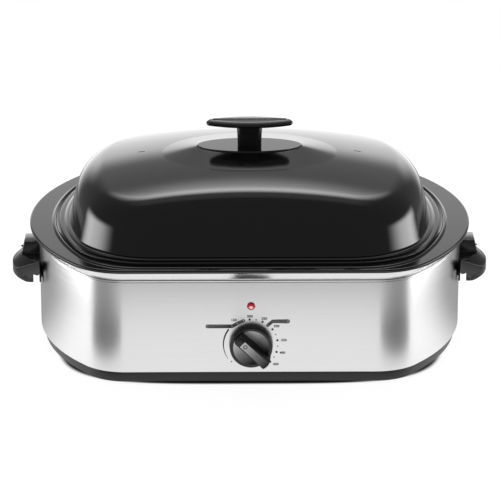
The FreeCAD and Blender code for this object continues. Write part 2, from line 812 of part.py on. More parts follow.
def make_heating_element():
    """Tubular element: one turn round the well, with both tails bent down at the rear."""
    line = element_line()
    start, middle, end = line.corner_points()
    z = element_height
    tail = element_tail_spacing / 2.0

    def at(point, sx, sy):
        return V(point.x * sx, point.y * sy, z)

    y = line.half_depth
    bend = element_tail_bend
    lean = bend * (1.0 - math.cos(math.radians(45.0)))
    down = z - bend

    def tail_edges(side):
        near = V(side * tail, y, down)
        mid = V(side * (tail + lean), y, z - lean)
        far = V(side * (tail + bend), y, z)
        return [Part.LineSegment(near - V(0, 0, element_tail_drop), near), Part.Arc(near, mid, far),
                Part.LineSegment(far, at(start, side, 1))]

    loop = [Part.Arc(at(start, 1, 1), at(middle, 1, 1), at(end, 1, 1)),
            Part.Arc(at(end, 1, 1), V(line.half_width, 0, z), at(end, 1, -1)),
            Part.Arc(at(end, 1, -1), at(middle, 1, -1), at(start, 1, -1)),
            Part.LineSegment(at(start, 1, -1), at(start, -1, -1)),
            Part.Arc(at(start, -1, -1), at(middle, -1, -1), at(end, -1, -1)),
            Part.Arc(at(end, -1, -1), V(-line.half_width, 0, z), at(end, -1, 1)),
            Part.Arc(at(end, -1, 1), at(middle, -1, 1), at(start, -1, 1))]
    back = [Part.LineSegment(at(start, -1, 1), V(-tail - bend, y, z)),
            Part.Arc(V(-tail - bend, y, z), V(-tail - lean, y, z - lean), V(-tail, y, down)),
            Part.LineSegment(V(-tail, y, down), V(-tail, y, down - element_tail_drop))]
    return tube_along(tail_edges(1) + loop + back, element_radius)


def make_element_terminals():
    line = element_line()
    sleeves = []
    for side in (-1, 1):
        top = V(side * element_tail_spacing / 2.0, line.half_depth,
                element_height - element_tail_bend - element_tail_drop)
        sleeves.append(rod(terminal_radius, top, top - V(0, 0, terminal_length)))
    return Part.makeCompound(sleeves)


def make_element_clips():
    """Brackets that stand on the well, hold the element and carry the shield."""
    line = element_line()
    shield = wrap_line.inset(shield_inset + shield_sheet)
    low = element_height - clip_height / 2.0
    high = element_height + clip_height / 2.0
    half = clip_width / 2.0
    blanks = []
    for x in (-clip_x, clip_x):
        for side in (-1, 1):
            y0, y1 = sorted((side * (pan_half_depth - 20.0), side * (shield.half_depth + 5.0)))
            blanks.append(box(V(x - half, y0, low), V(x + half, y1, high)))
    for side in (-1, 1):
        x0, x1 = sorted((side * (pan_half_width - 20.0), side * (shield.half_width + 5.0)))
        blanks.append(box(V(x0, -half, low), V(x1, half, high)))
    well = well_line_at(low).taper(low - 0.001, well_line_at(high), high + 0.001)
    inside = shield.prism(low - 1.0, high + 1.0)
    channel = line.inset(-element_radius).ring(line.inset(element_radius), element_height - element_radius,
                                               element_height + element_radius)
    return Part.makeCompound([blank.common(inside).cut([well, channel]) for blank in blanks])


def make_heat_shield():
    outer = wrap_line.inset(shield_inset)
    band = outer.ring(outer.inset(shield_sheet), shield_bottom, shield_top)
    front = V(0, -outer.half_depth - 2.0, lamp_height)
    return band.cut(rod(lamp_body_radius + shield_lamp_gap, front, front + V(0, 5.0, 0)))


def make_terminal_block():
    back_y = tray_line.half_depth - tray_inset - block_rear_gap
    block = box(V(-block_width / 2.0, back_y - block_depth, tray_floor_top),
                V(block_width / 2.0, back_y, tray_floor_top + block_height))
    block = fillet_where(block, block_corner, lambda edge: edge.BoundBox.ZLength > 1.0)
    well_z = tray_floor_top + block_height - block_screw_well_depth
    wells = []
    for x in (-wire_spacing / 2.0, wire_spacing / 2.0):
        wells.append(Part.makeCylinder(block_screw_well, block_screw_well_depth,
                                       V(x, back_y - block_depth / 2.0, well_z)))
    return block.cut(wells)


def make_lead_wires():
    """Two leads from the terminal block forward under the well and up to the thermostat."""
    z = tray_floor_top + block_height / 2.0
    back_y = tray_line.half_depth - tray_inset - block_rear_gap - block_depth
    rise_y = -wrap_inner_y + bracket_sheet + thermostat_depth / 2.0
    top = knob_height - thermostat_height / 2.0
    lean = wire_bend * (1.0 - math.cos(math.radians(45.0)))
    wires = []
    for x in (-wire_spacing / 2.0, wire_spacing / 2.0):
        turn = V(x, rise_y + wire_bend, z)
        up = V(x, rise_y, z + wire_bend)
        edges = [Part.LineSegment(V(x, back_y, z), turn),
                 Part.Arc(turn, V(x, rise_y + lean, z + lean), up),
                 Part.LineSegment(up, V(x, rise_y, top))]
        wires.append(tube_along(edges, wire_radius))
    return Part.makeCompound(wires)


def make_cord_grommet():
    """Rubber grommet that snaps into the rear wall, with the cord's bore through it."""
    inner = V(cord_entry_x, wrap_inner_y - grommet_rim, cord_entry_height)
    outer = V(cord_entry_x, wrap_half_depth + grommet_rim, cord_entry_height)
    neck = rod(grommet_neck_radius, inner, outer)
    rims = [rod(grommet_rim_radius, inner, V(cord_entry_x, wrap_inner_y, cord_entry_height)),
            rod(grommet_rim_radius, V(cord_entry_x, wrap_half_depth, cord_entry_height), outer)]
    bore = rod(cord_bore_radius, inner - V(0, 1, 0), outer + V(0, 1, 0))
    return neck.fuse(rims).cut(bore).removeSplitter()


# Roasting pan and rack


def make_roasting_pan():
    outer = tub(pan_top_line.inset(-pan_sheet), pan_foot_line.inset(-pan_sheet),
                pan_seat, pan_floor - pan_sheet, pan_fillet)
    inner = tub(pan_top_line, pan_foot_line, pan_seat, pan_floor, pan_fillet - pan_sheet)
    mouth = pan_top_line.prism(pan_seat - 0.001, lid_seat + 5.0)
    lip = edged_slab(flange_line, pan_seat - pan_lip_drop, lid_seat, pan_lip_round, pan_lip_round)
    lip = lip.cut(flange_line.inset(pan_lip_wall).prism(pan_seat - pan_lip_drop - 1.0, pan_seat))
    ridge = tube_along(bead_line.edges(pan_seat + pan_sheet), bead_radius)
    keep = flange_line.prism(pan_seat, pan_seat + 10.0)
    pan = outer.fuse([lip, ridge.common(keep)])
    return pan.cut([inner, mouth]).removeSplitter()


def rack_line():
    return pan_line_at(pan_floor + rack_foot_height, 0.0).inset(rack_gap)


def make_rack_grid():
    """Rack: a rim wire with round bars welded across it and four bent feet."""
    line = rack_line()
    z = pan_floor + rack_clear + rack_foot_height
    parts = [tube_along(line.edges(z), rack_wire)]
    count = int(line.half_width / rack_bar_pitch)
    for index in range(-count, count + 1):
        x = index * rack_bar_pitch
        reach = rack_reach(line, x)
        parts.append(rod(rack_bar_wire, V(x, -reach, z), V(x, reach, z)))
    for side in (-1, 1):
        x = side * rack_bar_pitch * (count - 1)
        reach = rack_reach(line, x) * rack_foot_share
        for y in (-reach, reach):
            parts.append(Part.makeCylinder(rack_wire, rack_foot_height, V(x, y, pan_floor + rack_clear)))
    grid = parts[0].fuse(parts[1:])
    return grid.removeSplitter()


def rack_reach(line, x):
    """Half the rack's depth at a place along it."""
    if abs(x) <= line.flat:
        return line.half_depth
    radius = line.corner_radius()
    if abs(x) < line.corner_points()[-1].x:
        return line.half_depth - radius + math.sqrt(radius ** 2 - (abs(x) - line.flat) ** 2)
    centre = line.half_width - line.end_radius
    return math.sqrt(line.end_radius ** 2 - (abs(x) - centre) ** 2)


def make_rack_handle(side):
    """Upright wire loop at one end of the rack, for lifting it out."""
    line = rack_line()
    chord = math.sqrt(line.end_radius ** 2 - rack_handle_half_span ** 2)
    x = side * (line.half_width - line.end_radius + chord)
    low = pan_floor + rack_clear + rack_foot_height
    high = low + rack_handle_height
    half = rack_handle_half_span
    bend = rack_handle_bend
    lean = bend * (1.0 - math.cos(math.radians(45.0)))
    edges = [Part.LineSegment(V(x, -half, low), V(x, -half, high - bend)),
             Part.Arc(V(x, -half, high - bend), V(x, -half + lean, high - lean), V(x, -half + bend, high)),
             Part.LineSegment(V(x, -half + bend, high), V(x, half - bend, high)),
             Part.Arc(V(x, half - bend, high), V(x, half - lean, high - lean), V(x, half, high - bend)),
             Part.LineSegment(V(x, half, high - bend), V(x, half, low))]
    return tube_along(edges, rack_handle_wire).cut(tube_along(line.edges(low), rack_wire))


# Lid


def dome_half_at(drop, foot_half, crown_radius, gap):
    """Half width or depth of the dome at a drop below its top: drafted wall, shoulder arc, then crown."""
    lean = math.radians(dome_draft)
    radius = dome_shoulder - gap
    foot = foot_half - gap
    height = dome_height - gap
    reach = foot - radius
    for _ in range(20):
        slope = reach / (crown_radius - gap)
        scale = math.hypot(1.0, slope)
        crown_z = height - reach ** 2 / (2.0 * (crown_radius - gap))
        along = (crown_z - radius / scale + radius * math.sin(lean)) / math.cos(lean)
        reach = foot - along * math.sin(lean) - radius * math.cos(lean) + radius * slope / scale
    z = height - drop
    centre_x = foot - along * math.sin(lean) - radius * math.cos(lean)
    centre_z = along * math.cos(lean) - radius * math.sin(lean)
    if z <= along * math.cos(lean):
        return foot - z * math.tan(lean)
    if z <= crown_z:
        return centre_x + math.sqrt(radius ** 2 - (z - centre_z) ** 2)
    return math.sqrt(2.0 * (crown_radius - gap) * drop)


def shoulder_contour(drop, gap):
    """Outline of the dome's wall or shoulder at a drop below its top, parallel to its foot."""
    across = dome_half_width - dome_half_at(drop, dome_half_width, dome_crown_x, gap)
    along = dome_half_depth - dome_half_at(drop, dome_half_depth, dome_crown_y, gap)
    return dome_line.inset((across + along) / 2.0)


def crown_contour(drop, gap):
    """Outline of the dome's crown at a drop below its top, close to an oval."""
    half_width = dome_half_at(drop, dome_half_width, dome_crown_x, gap)
    half_depth = dome_half_at(drop, dome_half_depth, dome_crown_y, gap)
    flat = dome_top_flat_share * dome_flat * half_width / dome_half_width
    return Outline(half_width, half_depth, flat, half_width * dome_top_end_share)


def dome_solid(gap):
    """Crowned dome with drafted walls and a rounded shoulder, drawn in by a gap for its inside."""
    foot_drop = dome_height + lid_sheet + (1.0 if gap > 0 else -gap)
    top = dome_top - gap
    levels = [(shoulder_contour(drop, gap), top - drop) for drop in (foot_drop,) + dome_shoulder_drops]
    levels += [(crown_contour(drop, gap), top - drop) for drop in dome_crown_drops]
    return stack(levels)


def emboss_solid(gap):
    """Shallow oval cone on the crown, with a flat oval disc on it for the knob."""
    disc_line = Oval(disc_half_x, disc_half_y, disc_end_radius)
    cone_top = dome_top + emboss_rise - gap
    cone = stack([(disc_line.inset(-emboss_width), cone_top - emboss_height), (disc_line, cone_top)])
    disc = disc_line.inset(gap)
    foot = cone_top - emboss_height
    if gap > 0:
        return cone.fuse(stack([(disc, foot), (disc, cone_top + disc_step)]))
    levels = [(disc, foot), (disc, cone_top + disc_step - disc_chamfer),
              (disc.inset(disc_chamfer), cone_top + disc_step)]
    return cone.fuse(stack(levels))


def make_lid_shell():
    outer = dome_solid(0.0).fuse(emboss_solid(0.0))
    inner = dome_solid(lid_sheet).fuse(emboss_solid(lid_sheet))
    rim = edged_slab(lid_rim_line, lid_seat, lid_rim_top, 0.0, lid_rim_round)
    under = lid_rim_line.inset(lid_sheet).prism(lid_seat - 1.0, lid_rim_top - lid_sheet)
    cuts = [under, inner, rod(lid_screw_radius, V(0, 0, dome_top - 10.0), V(0, 0, disc_top + 1.0))]
    for side in (-1, 1):
        slot = box(V(side * vent_x - vent_length / 2.0, vent_y - vent_width / 2.0, dome_top - 20.0),
                   V(side * vent_x + vent_length / 2.0, vent_y + vent_width / 2.0, dome_top))
        cuts.append(slot)
    return outer.fuse(rim).cut(cuts).removeSplitter()


def make_lid_knob():
    """Oval grip plate on a waisted stem, with a blind hole for the screw from below."""
    edge_top = grip_top_z - grip_crown
    edge_low = edge_top - grip_edge
    grip_line = Oval(grip_half_x, grip_half_y, grip_end_radius)
    plate = stack([(grip_line.inset(grip_edge_round), edge_low),
                   (grip_line, edge_low + grip_edge / 2.0),
                   (grip_line.inset(grip_edge_lean), edge_top),
                   (grip_line.inset(grip_crown_edge), grip_crown_z),
                   (grip_line.inset(grip_crown_flat), grip_top_z)])
    stem_line = Oval(stem_half_x, stem_half_y, stem_end_radius)
    stem = stack([(stem_line.inset(stem_waist), disc_top), (stem_line, edge_low + 1.0)])
    bite = rod(lid_screw_radius, V(0, 0, disc_top - 1.0), V(0, 0, disc_top + lid_screw_bite))
    return stem.fuse(plate).cut(bite).removeSplitter()


def make_lid_washer():
    under = disc_top - lid_sheet
    washer = Part.makeCylinder(lid_washer_radius, lid_washer_thickness, V(0, 0, under - lid_washer_thickness))
    return washer.cut(Part.makeCylinder(lid_screw_radius, 10.0, V(0, 0, under - 5.0)))


def make_lid_screw():
    seat = disc_top - lid_sheet - lid_washer_thickness
    shank = rod(lid_screw_radius, V(0, 0, seat), V(0, 0, disc_top + lid_screw_bite))
    head = rod(lid_screw_head_radius, V(0, 0, seat - lid_screw_head_height), V(0, 0, seat))
    return shank.fuse(head).removeSplitter()


def export(shape, node):
    moved = shape.copy()
    moved.translate(V(0, frame_shift, 0))
    moved.exportStep("parts/" + node + ".step")


def main():
    os.makedirs("parts", exist_ok=True)
    knob, inlay = make_knob_parts()
    nodes = {
        "outer_wrap": make_outer_wrap(),
        "rim_collar": make_rim_collar(),
        "heating_well": make_heating_well(),
        "base_tray": make_base_tray(),
        "tie_posts": make_tie_posts(),
        "base_screws": make_base_screws(),
        "side_handle_left": make_side_handle(-1),
        "side_handle_right": make_side_handle(1),
        "handle_screws": make_handle_screws(),
        "lamp_lens": make_lamp_lens(),
        "lamp_body": make_lamp_body(),
        "lamp_clip": make_lamp_clip(),
        "thermostat_bracket": make_thermostat_bracket(),
        "thermostat_screws": make_thermostat_screws(),
        "thermostat_body": make_thermostat_body(),
        "sensing_bulb": make_sensing_bulb(),
        "thermostat_shaft": make_thermostat_shaft(),
        "control_knob": knob,
        "knob_inlay": inlay,
        "heating_element": make_heating_element(),
        "element_terminals": make_element_terminals(),
        "element_clips": make_element_clips(),
        "heat_shield": make_heat_shield(),
        "terminal_block": make_terminal_block(),
        "lead_wires": make_lead_wires(),
        "cord_grommet": make_cord_grommet(),
        "roasting_pan": make_roasting_pan(),
        "rack_grid": make_rack_grid(),
        "rack_handle_left": make_rack_handle(-1),
        "rack_handle_right": make_rack_handle(1),
        "lid_shell": make_lid_shell(),
        "lid_knob": make_lid_knob(),
        "lid_washer": make_lid_washer(),
        "lid_screw": make_lid_screw(),
    }
    feet = ("foot_front_left", "foot_front_right", "foot_rear_left", "foot_rear_right")
    for name, (x, y) in zip(feet, corner_places(foot_spacing_x, foot_spacing_y)):
        nodes[name] = make_foot(x, y)
    for name, shape in nodes.items():
        export(shape, name)
        print(name, "solids", len(shape.Solids), "valid", shape.isValid(), "volume", round(shape.Volume))


if __name__ == "__main__":
    main()
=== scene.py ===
"""Looks of an electric roaster oven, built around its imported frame.  Lengths are metres."""
import json
import logging
import math
from dataclasses import dataclass, field, replace
from enum import Enum
from typing import Callable, Iterable, Sequence

import bmesh
import bpy
from mathutils import Matrix, Vector


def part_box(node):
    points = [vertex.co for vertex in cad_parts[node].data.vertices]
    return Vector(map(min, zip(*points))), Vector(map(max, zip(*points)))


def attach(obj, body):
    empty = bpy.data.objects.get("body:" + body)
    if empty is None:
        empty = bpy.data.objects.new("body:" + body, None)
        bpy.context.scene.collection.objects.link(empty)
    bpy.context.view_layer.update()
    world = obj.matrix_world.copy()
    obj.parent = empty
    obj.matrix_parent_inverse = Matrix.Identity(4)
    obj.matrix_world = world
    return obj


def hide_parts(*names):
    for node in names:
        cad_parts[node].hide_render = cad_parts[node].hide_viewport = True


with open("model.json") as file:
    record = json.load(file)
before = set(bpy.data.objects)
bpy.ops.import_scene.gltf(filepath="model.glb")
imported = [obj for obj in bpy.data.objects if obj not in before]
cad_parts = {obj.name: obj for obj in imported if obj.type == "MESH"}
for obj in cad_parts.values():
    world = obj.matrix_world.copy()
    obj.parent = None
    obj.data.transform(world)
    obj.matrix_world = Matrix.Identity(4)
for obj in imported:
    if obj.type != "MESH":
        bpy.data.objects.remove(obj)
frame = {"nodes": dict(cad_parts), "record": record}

LOG = logging.getLogger("roaster")
MM = 0.001
SHARP_ANGLE = math.radians(38.0)
Rule = Callable[[float], Vector]


def middle_y() -> float:
    """Y of the body's own middle, read from the stainless wrap."""
    low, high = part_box("outer_wrap")
    return (low.y + high.y) / 2.0


def add_node(tree: bpy.types.NodeTree, kind: str, sockets: dict | None = None,
             **settings: object) -> bpy.types.Node:
    """Add a shader node.

    Args:
        tree: The tree it goes into.
        kind: The node's type, without the words that all types start with.
        sockets: A value or an incoming socket for each input that is set.
        settings: The node's own settings.

    Returns:
        The node.
    """
    made = tree.nodes.new("ShaderNode" + kind)
    for name, value in settings.items():
        setattr(made, name, value)
    for name, value in (sockets or {}).items():
        if isinstance(value, bpy.types.NodeSocket):
            tree.links.new(value, made.inputs[name])
        else:
            made.inputs[name].default_value = value
    return made


def colour_ramp(tree: bpy.types.NodeTree, share: bpy.types.NodeSocket,
                stops: Sequence[tuple[float, Sequence[float]]]) -> bpy.types.NodeSocket:
    """Grade through colours.

    Args:
        tree: The tree the ramp goes into.
        share: What the ramp reads, from 0 to 1.
        stops: Place and colour of each stop, in order.

    Returns:
        The graded colour.
    """
    ramp = add_node(tree, "ValToRGB", {"Fac": share})
    band = ramp.color_ramp.elements
    while len(band) < len(stops):
        band.new(0.5)
    for index, (place, colour) in enumerate(stops):
        band[index].position = place
        band[index].color = (*colour, 1.0)
    return ramp.outputs["Color"]


class Grain(Enum):
    """How a finish's noise is stretched, in cycles per metre along X, Y and Z."""

    EVEN = (300.0, 300.0, 300.0)
    FINE = (900.0, 900.0, 900.0)
    PEEL = (160.0, 160.0, 160.0)
    BRUSHED = (6.0, 6.0, 2600.0)
    DRAWN = (40.0, 40.0, 40.0)


@dataclass(frozen=True)
class Finish:
    """One surface finish: colour, gloss and the small unevenness the real surface has."""

    name: str
    colour: tuple[float, float, float]
    roughness: float
    metallic: float = 0.0
    ior: float = 1.5
    coat: float = 0.0
    anisotropy: float = 0.0
    tint_spread: float = 0.08
    rough_spread: float = 0.04
    relief: float = 0.02
    relief_depth: float = 0.0002
    grain: Grain = Grain.EVEN
    glow: float = 0.0
    coat_roughness: float = 0.04
    noise_detail: float = 3.0
    brush_turn: float = 0.25
    tint_edges: tuple[float, float] = (0.3, 0.7)

    def build(self) -> bpy.types.Material:
        """Make the node material.

        Returns:
            The material, made once and found again by its name after that.
        """
        label = self.name + "_finish"
        known = bpy.data.materials.get(label)
        if known is not None:
            return known
        material = bpy.data.materials.new(label)
        material.use_nodes = True
        tree = material.node_tree
        shader = tree.nodes["Principled BSDF"]
        shader.inputs["Metallic"].default_value = self.metallic
        shader.inputs["IOR"].default_value = self.ior
        shader.inputs["Coat Weight"].default_value = self.coat
        shader.inputs["Coat Roughness"].default_value = self.coat_roughness
        shader.inputs["Anisotropic"].default_value = self.anisotropy
        noise = self._noise(tree)
        self._tint(tree, noise, shader)
        self._gloss(tree, noise, shader)
        bump = add_node(tree, "Bump", {"Strength": self.relief, "Distance": self.relief_depth,
                                       "Height": noise.outputs["Fac"]})
        tree.links.new(bump.outputs["Normal"], shader.inputs["Normal"])
        if self.anisotropy:
            shader.inputs["Anisotropic Rotation"].default_value = self.brush_turn
            tangent = add_node(tree, "Tangent", direction_type="RADIAL", axis="Z")
            tree.links.new(tangent.outputs["Tangent"], shader.inputs["Tangent"])
        if self.glow:
            shader.inputs["Emission Color"].default_value = (*self.colour, 1.0)
            shader.inputs["Emission Strength"].default_value = self.glow
        return material

    def _noise(self, tree: bpy.types.NodeTree) -> bpy.types.Node:
        """Noise in object coordinates, stretched as the grain says."""
        place = add_node(tree, "TexCoord")
        stretch = add_node(tree, "Mapping", {"Scale": self.grain.value, "Vector": place.outputs["Object"]})
        return add_node(tree, "TexNoise", {"Scale": 1.0, "Detail": self.noise_detail,
                                           "Vector": stretch.outputs["Vector"]})

    def _tint(self, tree: bpy.types.NodeTree, noise: bpy.types.Node, shader: bpy.types.Node) -> None:
        """Let the noise lighten and darken the colour a little."""
        stops = [(place, [min(1.0, c * (1.0 + way * self.tint_spread)) for c in self.colour])
                 for place, way in zip(self.tint_edges, (-1.0, 1.0))]
        tree.links.new(colour_ramp(tree, noise.outputs["Fac"], stops), shader.inputs["Base Color"])

    def _gloss(self, tree: bpy.types.NodeTree, noise: bpy.types.Node, shader: bpy.types.Node) -> None:
        """Let the noise make the surface a little duller in places."""
        spread = add_node(tree, "MapRange", {"To Min": max(0.01, self.roughness - self.rough_spread),
                                             "To Max": self.roughness + self.rough_spread,
                                             "Value": noise.outputs["Fac"]})
        tree.links.new(spread.outputs["Result"], shader.inputs["Roughness"])


STAINLESS = Finish("stainless", (0.78, 0.78, 0.785), 0.3, metallic=1.0, anisotropy=0.75, tint_spread=0.035,
                   rough_spread=0.05, relief=0.12, relief_depth=0.00005, grain=Grain.BRUSHED)
ENAMEL = Finish("black_enamel", (0.005, 0.005, 0.0055), 0.095, ior=1.58, rough_spread=0.01, relief=0.02,
                relief_depth=0.0002, grain=Grain.PEEL)
MOULDING = Finish("black_moulding", (0.010, 0.010, 0.0105), 0.22, rough_spread=0.04, relief=0.05,
                  relief_depth=0.0001, grain=Grain.FINE)
POLISHED = Finish("polished_steel", (0.74, 0.74, 0.745), 0.2, metallic=1.0, tint_spread=0.02,
                  rough_spread=0.02, relief=0.01, relief_depth=0.00005, grain=Grain.EVEN)
TRAY = Finish("black_plastic", (0.012, 0.012, 0.0125), 0.34, relief=0.1, relief_depth=0.0001,
              grain=Grain.FINE)
KNOB = Finish("black_knob", (0.012, 0.012, 0.0125), 0.26, relief=0.06, relief_depth=0.0001,
              grain=Grain.FINE)
# Inlay colour; on the knob it gives way to a painted-shade gradient.
INLAY = Finish("grey_inlay", (0.21, 0.21, 0.215), 0.35, metallic=1.0, relief=0.05, grain=Grain.FINE)
# Graphite face colour; on the knob it gives way to a painted-shade gradient.
GRAPHITE = Finish("graphite_face", (0.40, 0.40, 0.405), 0.3, metallic=1.0, tint_spread=0.03, relief=0.03,
                  grain=Grain.FINE)
INK = Finish("dial_ink", (0.035, 0.035, 0.036), 0.45, grain=Grain.FINE)
TAG_INK = Finish("tag_ink", (0.34, 0.34, 0.342), 0.4, grain=Grain.FINE)
PALE_INK = Finish("pale_ink", (0.94, 0.94, 0.94), 0.45, grain=Grain.FINE)
LENS = Finish("red_lens", (0.16, 0.001, 0.008), 0.06, coat=1.0, glow=1.0, relief=0.0, grain=Grain.EVEN)
ALUMINISED = Finish("aluminised_steel", (0.55, 0.55, 0.56), 0.42, metallic=1.0, tint_spread=0.12,
                    relief=0.1, grain=Grain.DRAWN)
ZINC = Finish("zinc_steel", (0.56, 0.56, 0.58), 0.3, metallic=1.0, tint_spread=0.1, grain=Grain.EVEN)
CHROME = Finish("chromed_wire", (0.72, 0.72, 0.74), 0.08, metallic=1.0, rough_spread=0.02, grain=Grain.EVEN)
CERAMIC = Finish("ceramic", (0.68, 0.64, 0.55), 0.6, relief=0.15, grain=Grain.FINE)
COPPER = Finish("copper", (0.72, 0.37, 0.22), 0.28, metallic=1.0, tint_spread=0.15, grain=Grain.DRAWN)
SHEATH = Finish("element_sheath", (0.09, 0.085, 0.08), 0.5, metallic=0.8, tint_spread=0.3, grain=Grain.DRAWN)
SLEEVE = Finish("wire_sleeve", (0.62, 0.59, 0.5), 0.7, relief=0.4, grain=Grain.FINE)
RUBBER = Finish("black_rubber", (0.016, 0.016, 0.016), 0.6, relief=0.15, grain=Grain.FINE)
HOUSING = Finish("lamp_housing", (0.7, 0.7, 0.67), 0.4, grain=Grain.EVEN)

CAD_FINISHES = {
    "stainless": STAINLESS, "black_enamel": ENAMEL, "aluminised_steel": ALUMINISED, "black_plastic": TRAY,
    "black_moulding": MOULDING, "black_knob": KNOB, "grey_inlay": INLAY, "zinc_steel": ZINC, "red_lens": LENS,
    "lamp_housing": HOUSING, "ceramic": CERAMIC, "copper": COPPER, "element_sheath": SHEATH,
    "wire_sleeve": SLEEVE, "black_rubber": RUBBER, "chromed_wire": CHROME,
}


@dataclass(frozen=True)
class Outline:
    """Plan outline with a flat front and back, tight corner arcs and wide end arcs."""

    half_width: float
    half_depth: float
    flat: float
    end_radius: float

    def inset(self, gap: float) -> "Outline":
        """The parallel outline a gap further in."""
        return Outline(self.half_width - gap, self.half_depth - gap, self.flat, self.end_radius - gap)

    def corner(self) -> tuple[float, float]:
        """Radius of the corner arc and the angle of its far end from the Y axis."""
        offset = self.half_width - self.end_radius - self.flat
        spare = self.end_radius ** 2 - offset ** 2 - self.half_depth ** 2
        radius = spare / (2.0 * (self.end_radius - self.half_depth))
        return radius, math.atan2(-offset, self.half_depth - radius)

    def spot(self, around: float) -> tuple[Vector, Vector]:
        """Point and outward direction at a share of the way round, from the middle of the front.

        Args:
            around: 0 at the middle of the front, 0.25 at the middle of the +X end.

        Returns:
            The point in the plan, about the body's middle, and the unit vector out of the outline there.
        """
        quarter = int(around * 4.0) % 4
        share = around * 4.0 - int(around * 4.0)
        if quarter % 2:
            share = 1.0 - share
        radius, turn = self.corner()
        if share <= FLAT_SHARE:
            point = Vector((self.flat * share / FLAT_SHARE, -self.half_depth, 0.0))
            out = Vector((0.0, -1.0, 0.0))
        elif share <= CORNER_SHARE:
            angle = turn * (share - FLAT_SHARE) / (CORNER_SHARE - FLAT_SHARE)
            out = Vector((math.sin(angle), -math.cos(angle), 0.0))
            point = Vector((self.flat, radius - self.half_depth, 0.0)) + out * radius
        else:
            angle = turn + (math.pi / 2.0 - turn) * (share - CORNER_SHARE) / (1.0 - CORNER_SHARE)
            out = Vector((math.sin(angle), -math.cos(angle), 0.0))
            point = Vector((self.half_width - self.end_radius, 0.0, 0.0)) + out * self.end_radius
        side_x = 1.0 if quarter < 2 else -1.0
        side_y = 1.0 if quarter in (0, 3) else -1.0
        return (Vector((point.x * side_x, point.y * side_y, 0.0)),
                Vector((out.x * side_x, out.y * side_y, 0.0)))


FLAT_SHARE = 9.0 / 48.0
CORNER_SHARE = 33.0 / 48.0
ROUND_SEGMENTS = 192


def arc(centre: tuple[float, float], radius: float, start: float, end: float,
        steps: int) -> list[tuple[float, float]]:
    """Points on an arc of a profile.

    Args:
        centre: Offset and height of the arc's centre.
        radius: Its radius.
        start: Angle of the first point in degrees, from the outward direction.
        end: Angle of the last point.
        steps: Number of spans.

    Returns:
        Offset and height of each point.
    """
    angles = [math.radians(start + (end - start) * i / steps) for i in range(steps + 1)]
    return [(centre[0] + radius * math.cos(a), centre[1] + radius * math.sin(a)) for a in angles]


class RingShell:
    """A mesh grown ring by ring from one circle, each ring placed by a rule."""

    def __init__(self, segments: int = ROUND_SEGMENTS) -> None:
        """Start with one circle whose vertices know how far round they are."""
        self.bm = bmesh.new()
        self.around = self.bm.verts.layers.float.new("around")
        made = bmesh.ops.create_circle(self.bm, segments=segments, radius=1.0)
        for vert in made["verts"]:
            vert[self.around] = (math.atan2(vert.co.x, -vert.co.y) / (2.0 * math.pi)) % 1.0
        self.loop = list(self.bm.edges)
        self.started = False

    def ring(self, rule: Rule) -> None:
        """Place the next ring by a rule from the share of the way round to a point."""
        if self.started:
            grown = bmesh.ops.extrude_edge_only(self.bm, edges=self.loop)["geom"]
            fresh = {item for item in grown if isinstance(item, bmesh.types.BMVert)}
            self.loop = [item for item in grown if isinstance(item, bmesh.types.BMEdge)
                         and item.verts[0] in fresh and item.verts[1] in fresh]
        else:
            fresh = set(self.bm.verts)
            self.started = True
        for vert in fresh:
            vert.co = rule(vert[self.around])

    def profile(self, line: Outline, points: Iterable[tuple[float, float]]) -> None:
        """Add rings that stand off an outline by an offset, at a height.

        Args:
            line: The outline that the offsets are measured from.
            points: Offset outward and height of each ring.
        """
        for offset, height in points:
            grown = line.inset(-offset)
            lift = Vector((0, 0, height))
            self.ring(lambda around, grown=grown, lift=lift: grown.spot(around)[0] + lift)

    def cap(self) -> None:
        """Close the last ring with one flat face."""
        bmesh.ops.contextual_create(self.bm, geom=self.loop)


def finish_mesh(bm: bmesh.types.BMesh, name: str, lift: Vector = Vector((0, 0, 0)),
                recalc: bool = True) -> bpy.types.Object:
    """Turn a bmesh into an object that sits at the origin.

    Args:
        bm: The mesh, which is freed.
        name: The piece's name.
        lift: What to add to every vertex.
        recalc: Whether to make the faces point outward.

    Returns:
        The object, smooth shaded with its sharp edges marked.
    """
    bmesh.ops.translate(bm, verts=bm.verts, vec=lift)
    bmesh.ops.remove_doubles(bm, verts=bm.verts, dist=1e-6)
    if recalc:
        bmesh.ops.recalc_face_normals(bm, faces=bm.faces)
    mesh = bpy.data.meshes.new(name)
    bm.to_mesh(mesh)
    bm.free()
    mesh.shade_smooth()
    mesh.set_sharp_from_angle(angle=SHARP_ANGLE)
    made = bpy.data.objects.new(name, mesh)
    bpy.context.scene.collection.objects.link(made)
    return made


def thicken(piece: bpy.types.Object, sheet: float, side: float) -> None:
    """Give an open shell its sheet thickness.

    Args:
        piece: The shell.
        sheet: Thickness of the sheet.
        side: -1 puts the thickness behind the faces, 1 in front.
    """
    wall = piece.modifiers.new("sheet", "SOLIDIFY")
    wall.thickness = sheet
    wall.offset = side
    wall.use_even_offset = True


def dress(piece: bpy.types.Object, finish: Finish, body: str, nodes: Sequence[str] = ()) -> None:
    """Give a piece its finish, its body and the CAD nodes it stands for."""
    piece.data.materials.clear()
    piece.data.materials.append(finish.build())
    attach(piece, body)
    if nodes:
        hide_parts(*nodes)
    LOG.info("made %s on %s", piece.name, body)


